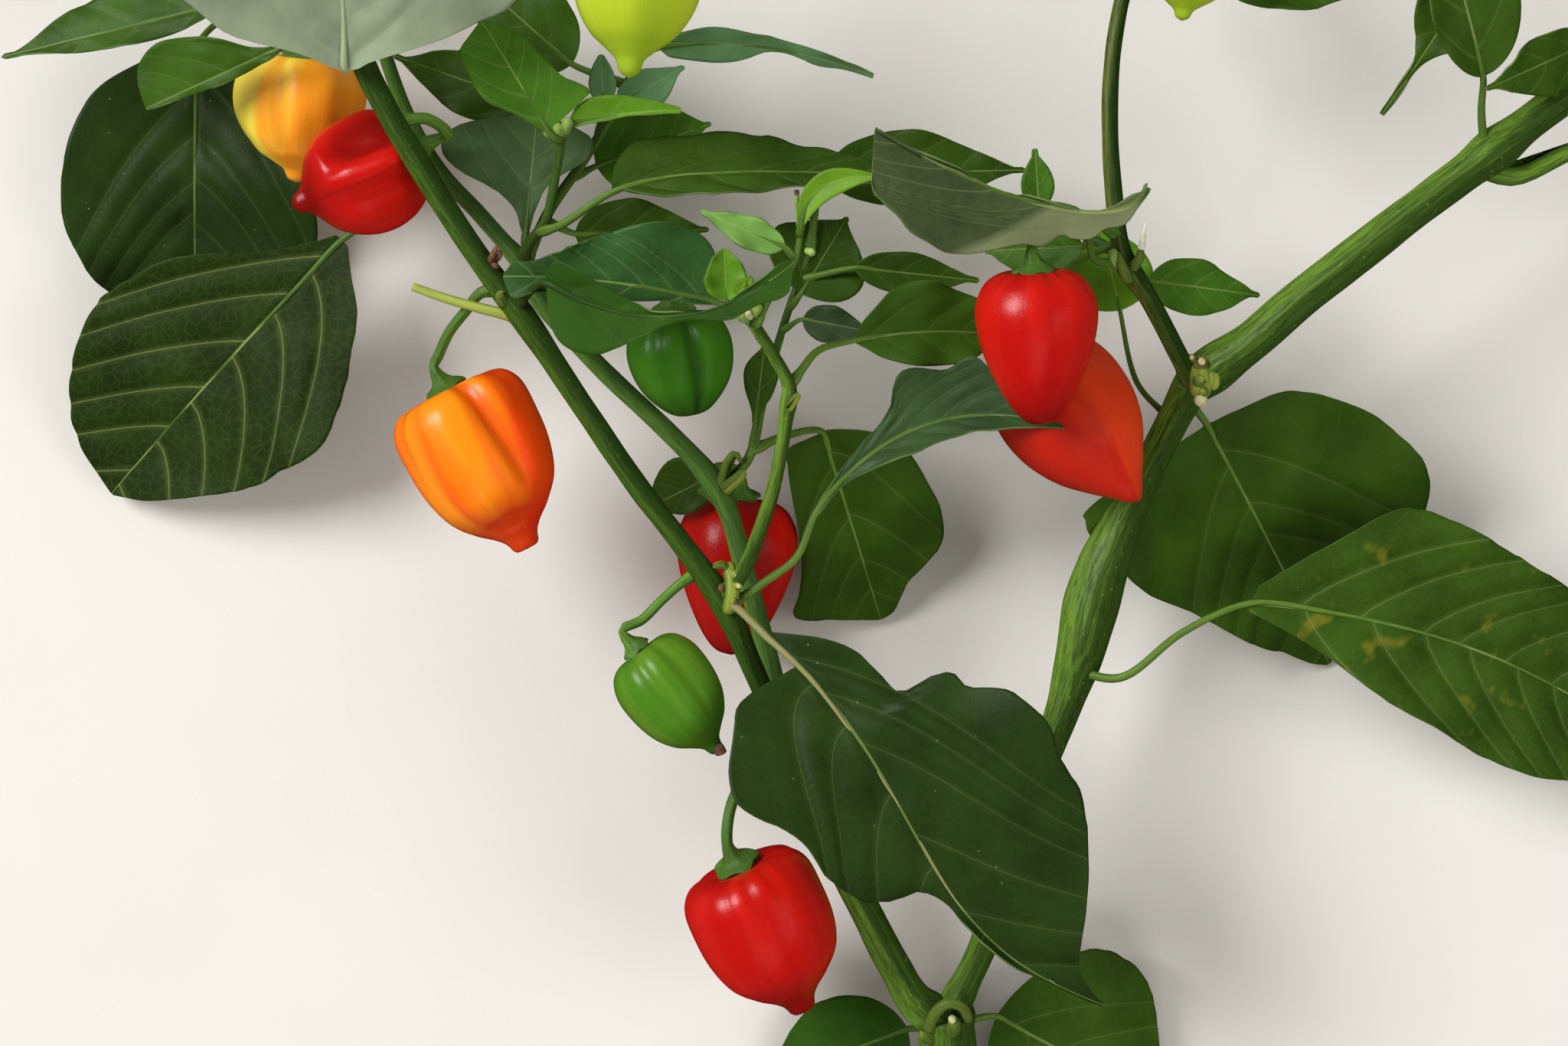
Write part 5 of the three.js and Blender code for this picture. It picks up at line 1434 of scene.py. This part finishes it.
# Each finish: its rule, its colours as hex codes or names of the branch's colours, and values
FINISHES = dict(
    # leaves: roughness, how clearly the veins show, specks, blotches and the turned part
    leaf_dark_skin=(leaf_finish, ("leaf_dark", "vein"), (0.45, 0.09, 0.6)),
    leaf_bloom_skin=(leaf_finish, ("leaf_bloom", "vein"), (0.45, 0.1)),
    leaf_glossy_skin=(leaf_finish, ("#2d5024", "vein"), (0.34, 0.3)),
    leaf_clear_skin=(leaf_finish, ("#3f6a16", "vein"), (0.47, 0.3)),
    leaf_fresh_skin=(leaf_finish, ("#648f1a", "vein"), (0.45, 0.1)),
    leaf_light_skin=(leaf_finish, ("#6f9a48", "vein"), (0.42, 0.1)),
    leaf_pale_skin=(leaf_finish, ("#5f8a5a", "vein"), (0.5, 0.15)),
    leaf_dull_skin=(leaf_finish, ("#46603a", "vein"), (0.5, 0.25)),
    leaf_skin=(leaf_finish, ("leaf", "vein"), (0.47, 0.14)),
    leaf_mid_skin=(leaf_finish, ("#355412", "vein"), (0.47, 0.12)),
    leaf_plain_skin=(leaf_finish, ("leaf_plain", "vein"), (0.72, 0.05)),
    leaf_soft_skin=(leaf_finish, ("leaf_soft", "vein"), (0.62, 0.38)),
    leaf_yellowing_skin=(leaf_finish, ("leaf", "vein"), (0.47, 0.25, 0.3, 0.6)),
    leaf_young_skin=(leaf_finish, ("leaf_young", "vein"), (0.42, 0.2)),
    leaf_grey_skin=(leaf_finish, ("leaf_grey", "vein"), (0.55, 0.2)),
    leaf_turned_skin=(leaf_finish, ("leaf_turned", "vein"), (0.5, 0.3, 0.0, 0.0, (21.5, 1.05))),
    leaf_underside_skin=(leaf_finish, ("leaf_under", "vein"), (0.55, 0.4)),
    # stems: roughness, contrast between the flanks, which are painted light and painted shade, and how
    # far the warts show
    petiole_brown_skin=(stem_finish, ("#8c8a5c", "petiole"), (0.45, 0.4, 0.0)),
    petiole_dark_skin=(stem_finish, ("stem", "stem_dark"), (0.42, 0.4, 0.0)),
    petiole_pale_skin=(stem_finish, ("#a4b088", "leaf_grey"), (0.5, 0.3, 0.0)),
    petiole_snapped_skin=(stem_finish, ("#a2ae50", "petiole"), (0.45, 0.3, 0.0)),
    petiole_skin=(stem_finish, ("petiole", "stem"), (0.42, 0.5, 0.0)),
    stem_skin=(stem_finish, ("stem_light", "stem_dark"), (0.4, 0.85)),
    twig_skin=(stem_finish, ("petiole", "stem"), (0.42, 0.8, 0.2)),
    stem_deep_skin=(stem_finish, ("#42601c", "stem_dark"), (0.42, 0.9)),
    stem_soft_skin=(stem_finish, ("stem_soft", "stem"), (0.45, 0.7, 0.3)),
    stem_flushed_skin=(stem_finish, ("#586424", "stem_dark"), (0.42,)),
    stub_skin=(stem_finish, ("#8c9a3c", "stem"), (0.45, 0.7, 0.0)),
    bud_skin=(stem_finish, ("#9cb860", "petiole"), (0.45, 0.5, 0.0)),
    stalk_skin=(stem_finish, ("stalk", "stem"), (0.4, 0.6, 0.0)),
    # pods: how far the patches show, roughness, the angle that they face and where the tip starts; the
    # second colour also paints shade in the grooves, dents and tip
    red_skin=(pod_finish, ("red", "#740502", "#e0200c"), (0.5,)),
    # the orange-red pod's paler patches face its lit side: painted light
    red_orange_skin=(
        pod_finish, ("red_orange", "#8e0803", "#e6400c"), (0.8, 0.42, -50, (0.8, 1.2))
    ),
    orange_skin=(pod_finish, ("orange", "#cc2603", "#ff980e"), (0.85, 0.28, 20, (0.6, 0.8))),
    yellow_skin=(pod_finish, ("yellow", "#f09418", "#f6e04a"), (1.0, 0.4, 60)),
    green_skin=(pod_finish, ("green", "#2c5c0c", "#76982a"), (0.6,)),
    dark_green_skin=(pod_finish, ("dark_green", "#16340a", "#4a7a1c"), (0.4,)),
    light_green_skin=(pod_finish, ("light_green", "#88a81c", "#c8d840"), (0.4, 0.4)),
    # dry and cut surfaces and the floor: roughness, size of the patches and how far they differ
    cut_flesh=(plain_finish, ("#b9b888",), (0.6, 1.5)),
    dry_petal=(plain_finish, ("#6a4430",), (0.8, 1.2, 0.5)),
    fresh_petal=(plain_finish, ("#dfe6cf",), (0.5, 1.5)),
    pale_paper=(plain_finish, ("floor",), (0.75, 60, 0.02)),
)


def colour_of(text):
    """The linear colour of a hex code, or of a name among the branch's colours."""
    if text.startswith("#"):
        return linear(text)
    return getattr(bpy.context.scene.branch_colours, text)


def finish_named(name):
    """A finish by name, made when it is first asked for."""
    if name not in bpy.data.materials:
        rule, colours, values = FINISHES[name]
        rule(name, *map(colour_of, colours), *values)
    return bpy.data.materials[name]


def new_shape(*layers):
    """A bmesh with the layers that its rules write."""
    bm = bmesh.new()
    kinds = dict(grain=bm.verts.layers.float_vector, spot=bm.verts.layers.float_vector)
    kinds |= dict(ripe=bm.verts.layers.float, veins=bm.loops.layers.uv, blade=bm.loops.layers.uv)
    for layer in layers:
        kinds[layer].new(layer)
    return bm


def make_piece(name, bm, finishes, slot, *nodes):
    """Makes a bmesh in millimetres a piece that rides on the branch and stands for CAD nodes."""
    spots = bm.verts.layers.float_vector.get("spot")
    if spots:
        bm.verts.layers.float_vector.remove(spots)
    bmesh.ops.scale(bm, vec=(MM, MM, MM), verts=bm.verts)
    for face in bm.faces:
        face.smooth = True
    mesh = bpy.data.meshes.new(name)
    bm.to_mesh(mesh)
    bm.free()
    for finish in finishes:
        mesh.materials.append(finish_named(finish))
    piece = bpy.data.objects.new(name, mesh)
    bpy.context.scene.collection.objects.link(piece)
    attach(piece, "root")
    if nodes:
        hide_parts(*nodes)
    return piece


def slot_of(node):
    return next(p["material_slot"] for p in frame["record"]["subparts"] if p["node"] == node)


def carrier_route(name):
    return limb_route(LIMBS[name] if name in LIMBS else SHOOTS[name])


def length_property(name, description, usual, low, high):
    """A length, with its usual value and its limits told in millimetres."""
    return FloatProperty(
        name=name,
        description=description,
        default=usual * MM,
        min=low * MM,
        max=high * MM,
        unit="LENGTH",
    )


class BranchSizes(PropertyGroup):
    blade: length_property("Blade thickness", "Thickness of a leaf's blade", 0.45, 0.2, 1.5)
    cell: length_property("Blade cell", "Side of a blade's faces", 1.1, 0.5, 5)
    quilt: length_property("Quilting", "How far a large blade puffs up between veins", 0.8, 0, 4)
    vein: length_property("Side vein depth", "How deep side veins are sunk in a blade", 0.15, 0, 1)
    midrib: length_property("Midrib depth", "How deep a midrib is sunk at its base", 0.6, 0, 2)
    rib: FloatProperty(
        name="Stem rib",
        description="Height of a stem's ribs as a share of its radius",
        default=0.035,
        min=0,
        max=0.2,
        subtype="FACTOR",
    )


def colour_property(name, description, code):
    return FloatVectorProperty(
        name=name,
        description=description,
        default=linear(code),
        min=0,
        max=1,
        size=3,
        subtype="COLOR",
    )


class BranchColours(PropertyGroup):
    leaf: colour_property("Leaf", "Upper face of a full-grown leaf", "#314c0e")
    leaf_dark: colour_property("Dark leaf", "Upper face of an old, dark leaf", "#22360f")
    leaf_bloom: colour_property("Leaf with a bloom", "Dark leaf with a bluish bloom", "#334a28")
    leaf_soft: colour_property("Soft leaf", "Broad leaf with wide pale veins", "#1e3006")
    leaf_plain: colour_property("Plain leaf", "Smooth leaf whose veins hardly show", "#26480a")
    leaf_young: colour_property("Young leaf", "Upper face of a new leaf", "#568418")
    leaf_grey: colour_property("Grey leaf", "A leaf with a greyish bloom", "#7f8c72")
    leaf_turned: colour_property("Turned leaf", "Upper face of the leaf that shows its back", "#3c4a2c")
    leaf_under: colour_property("Leaf underside", "Underside of a leaf", "#5c7340")
    vein: colour_property("Vein", "Side veins and midrib", "#8a9c58")
    petiole: colour_property("Petiole", "Leaf stalks and thin twigs", "#5f7d30")
    stem: colour_property("Twig streak", "Darker streaks on thin stems", "#2f4c1c")
    stem_soft: colour_property("Soft stem", "Light green of a young stem", "#5c8436")
    # a stem's light flank is painted light and its dark flank painted shade
    stem_light: colour_property("Stem, light flank", "Yellow-green flank of a stem", "#668a2c")
    stem_dark: colour_property("Stem, dark flank", "Dark green flank of a stem", "#22380f")
    stalk: colour_property("Fruit stalk", "Pedicel and calyx", "#648e34")
    red: colour_property("Red pod", "Skin of a red pod", "#ba0904")
    red_orange: colour_property("Orange-red pod", "Skin of an orange-red pod", "#bc1c04")
    orange: colour_property("Orange pod", "Skin of the orange pod", "#ee4804")
    yellow: colour_property("Yellow pod", "Skin of the yellow pod", "#ffa01c")
    green: colour_property("Green pod", "Skin of a green pod", "#487c18")
    dark_green: colour_property("Dark green pod", "Skin of the dark green pod", "#3d7a18")
    light_green: colour_property("Light green pod", "Skin of a light green pod", "#aec422")
    floor: colour_property("Floor", "The paper that the branch lies on", "#dedbd6")


def sizes_of(context):
    """The sizes in millimetres, and the ribs' share."""
    settings = context.scene.branch_sizes
    lengths = ("blade", "cell", "quilt", "vein", "midrib")
    return {name: getattr(settings, name) / MM for name in lengths} | {"rib": settings.rib}


def limb_skin(limb, rib):
    """A limb's radius rule with its ribs, the collar at its foot and a soft unevenness."""
    route = limb_route(limb)
    foot = limb["radii"][0]

    def radius_at(share, angle):
        along = share * route.length
        collar = COLLAR * foot * bump(along, 1.3 * foot, 1.3 * foot)
        drift = 2.5 * noise.noise(Vector((along / 60, RIBS, 0)))
        ridge = math.cos(RIBS * angle + drift) + 0.4 * math.cos((2 * RIBS + 1) * angle - drift)
        spot = Vector((1.5 * math.cos(angle), 1.5 * math.sin(angle), along / 9))
        radius = limb_radius(limb, share) + collar
        return radius * (1 + rib * ridge + 0.05 * noise.noise(spot))

    return radius_at


def growth_radius(foot, head, rounding):
    """A small growth's radius rule: its end is rounded off over a share of its length."""

    def radius_at(share, angle):
        left = (1 - share) / rounding
        end = math.sqrt(max(0.0, 1 - (1 - left) ** 2)) if left < 1 else 1
        lump = 1 + 0.12 * noise.noise(Vector((3 * share, angle, foot)))
        return max(0.08, mix(foot, head, share) * end * lump)

    return radius_at


class BRANCH_OT_limbs(Operator):
    """Grow the main stem, boughs and twigs, with their ribs and joints"""

    bl_idname = "branch.grow_limbs"
    bl_label = "Limbs"

    def execute(self, context):
        rib = sizes_of(context)["rib"]
        for name, limb in LIMBS.items():
            bm = new_shape("grain")
            skins = [limb.get("skin", "stem_skin"), "petiole_snapped_skin"]
            tube = TUBES["thick_limb" if limb["radii"][0] > THICK_LIMB else "limb"]
            grow_tube(bm, limb_route(limb), limb_skin(limb, rib), *tube, level=True)
            if name == "left_front_stem":
                route = limb_route(BROKEN_PETIOLE)
                rule = limb_skin(BROKEN_PETIOLE, rib)
                grow_tube(bm, route, rule, *TUBES["broken_petiole"], material=1)
            bmesh.ops.recalc_face_normals(bm, faces=bm.faces)
            make_piece(f"grown_{name}", bm, skins, slot_of(name), name)
        return {"FINISHED"}


class BRANCH_OT_leaves(Operator):
    """Grow the single leaves, each with its petiole and veins"""

    bl_idname = "branch.grow_leaves"
    bl_label = "Leaves"

    def execute(self, context):
        sizes = sizes_of(context)
        for number, (name, leaf) in enumerate(LEAVES.items(), 1):
            bm = new_shape("grain", "spot", "veins", "blade")
            grow_leaf(bm, ready_leaf(leaf, number), carrier_route(leaf["on"]), sizes)
            upper, petiole = leaf.get("skin", "leaf_skin"), leaf.get("petiole", "petiole_skin")
            skins = [upper, "leaf_underside_skin", petiole]
            make_piece(f"grown_{name}", bm, skins, slot_of(name), name)
        return {"FINISHED"}


class BRANCH_OT_shoots(Operator):
    """Grow the leafy shoots: a twig and its leaves, each kind in its own piece"""

    bl_idname = "branch.grow_shoots"
    bl_label = "Shoots"

    def execute(self, context):
        sizes = sizes_of(context)
        for number, (name, shoot) in enumerate(SHOOTS.items(), SHOOT_SEED):
            route = limb_route(shoot)
            twig = new_shape("grain")
            grow_tube(twig, route, limb_skin(shoot, sizes["rib"]), *TUBES["twig"])
            bmesh.ops.recalc_face_normals(twig, faces=twig.faces)
            make_piece(f"grown_{name}_twig", twig, ["twig_skin"], "stem")
            leaves = list(shoot["leaves"])
            if "spiral" in shoot:
                leaves += spiral_leaves(route, shoot["spiral"])
            bm = new_shape("grain", "spot", "veins", "blade")
            for i, leaf in enumerate(leaves):
                upper = SHOOT_SKINS.index(leaf.get("skin", "leaf_skin"))
                ready = ready_leaf(leaf, number + LEAF_SEED_STEP * i)
                grow_leaf(bm, ready, route, sizes, (upper, 1, 2))
            make_piece(f"grown_{name}_leaves", bm, SHOOT_SKINS, slot_of(name), name)
        return {"FINISHED"}


class BRANCH_OT_pods(Operator):
    """Grow the pods, with their lobes, grooves and dents"""

    bl_idname = "branch.grow_pods"
    bl_label = "Pods"

    def execute(self, context):
        for name, pod in PODS.items():
            bm = new_shape("grain", "ripe")
            grow_pod(bm, ready_pod(name, pod))
            node = f"pod_{name}"
            make_piece(f"grown_{node}", bm, [pod["skin"]], slot_of(node), node)
        return {"FINISHED"}


class BRANCH_OT_stalks(Operator):
    """Grow the pods' stalks, each with its calyx"""

    bl_idname = "branch.grow_stalks"
    bl_label = "Fruit stalks"

    def execute(self, context):
        for name, pod in PODS.items():
            bm = new_shape("grain")
            grow_stalk(bm, ready_pod(name, pod), carrier_route(pod["on"]))
            bmesh.ops.recalc_face_normals(bm, faces=bm.faces)
            node = f"stalk_{name}"
            make_piece(f"grown_{node}", bm, ["stalk_skin"], slot_of(node), node)
        return {"FINISHED"}


class BRANCH_OT_joint_growths(Operator):
    """Grow what sits at the joints: buds, stubs, scars and the remains of flowers"""

    bl_idname = "branch.grow_joints"
    bl_label = "Buds, stubs and scars"

    def execute(self, context):
        for kind, (finish, growths) in GROWTHS.items():
            bm = new_shape("grain")
            for foot, head, rounding, *places in growths:
                route = route_through(places)
                rule = growth_radius(foot, head, rounding)
                grow_tube(bm, route, rule, GROWTH_FACES, route.length / GROWTH_FACES)
            bmesh.ops.recalc_face_normals(bm, faces=bm.faces)
            make_piece(f"grown_{kind}", bm, [finish], "stalk")
        return {"FINISHED"}


class BRANCH_OT_stage(Operator):
    """Lay the pale floor and set the soft studio lights and the camera"""

    bl_idname = "branch.set_stage"
    bl_label = "Stage"

    def execute(self, context):
        scene = context.scene
        bm = bmesh.new()
        bmesh.ops.create_grid(bm, x_segments=1, y_segments=1, size=FLOOR_SIZE)
        mesh = bpy.data.meshes.new("floor")
        bm.to_mesh(mesh)
        bm.free()
        mesh.materials.append(finish_named("pale_paper"))
        floor = bpy.data.objects.new("floor", mesh)
        scene.collection.objects.link(floor)
        floor.visible_glossy = False
        for name, spot, size, power in LAMPS:
            light = bpy.data.lights.new(name, "AREA")
            light.shape = "DISK"
            light.size = size
            light.energy = power
            lamp = bpy.data.objects.new(name, light)
            lamp.location = spot
            aim = Vector((0, 0, MIDDLE_LEVEL * MM)) - Vector(spot)
            lamp.rotation_euler = aim.to_track_quat("-Z", "Y").to_euler()
            lamp.visible_glossy = name == "key_lamp"
            scene.collection.objects.link(lamp)
        world = bpy.data.worlds.new("soft_sky")
        scene.world = world
        world.use_nodes = True
        sky = world.node_tree.nodes["Background"].inputs
        sky["Color"].default_value = shade(linear(SKY[0]))
        sky["Strength"].default_value = SKY[1]
        world.cycles_visibility.glossy = False
        camera = bpy.data.cameras.new("camera")
        camera.sensor_width = SENSOR
        camera.lens = SENSOR * VIEW_HEIGHT / VIEW_WIDTH
        view = bpy.data.objects.new("camera", camera)
        view.location = (-CENTRE[0] * MM, -CENTRE[1] * MM, (MIDDLE_LEVEL + VIEW_HEIGHT) * MM)
        scene.collection.objects.link(view)
        scene.camera = view
        scene.view_settings.view_transform = "Standard"
        return {"FINISHED"}


OPERATORS = (
    BRANCH_OT_limbs,
    BRANCH_OT_leaves,
    BRANCH_OT_shoots,
    BRANCH_OT_pods,
    BRANCH_OT_stalks,
    BRANCH_OT_joint_growths,
    BRANCH_OT_stage,
)


class BRANCH_PT_panel(Panel):
    bl_label = "Chilli branch"
    bl_idname = "BRANCH_PT_panel"
    bl_space_type = "VIEW_3D"
    bl_region_type = "UI"
    bl_category = "Chilli branch"

    def draw(self, context):
        for group in (context.scene.branch_sizes, context.scene.branch_colours):
            box = self.layout.box()
            for name in group.__annotations__:
                box.prop(group, name)
        for operator in OPERATORS:
            self.layout.operator(operator.bl_idname)


CLASSES = (BranchSizes, BranchColours, *OPERATORS, BRANCH_PT_panel)


def register():
    for cls in CLASSES:
        bpy.utils.register_class(cls)
    bpy.types.Scene.branch_sizes = PointerProperty(type=BranchSizes)
    bpy.types.Scene.branch_colours = PointerProperty(type=BranchColours)


def unregister():
    del bpy.types.Scene.branch_colours
    del bpy.types.Scene.branch_sizes
    for cls in reversed(CLASSES):
        bpy.utils.unregister_class(cls)


def main():
    register()
    for operator in OPERATORS:
        group, name = operator.bl_idname.split(".")
        getattr(getattr(bpy.ops, group), name)()


if __name__ == "__main__":
    main()
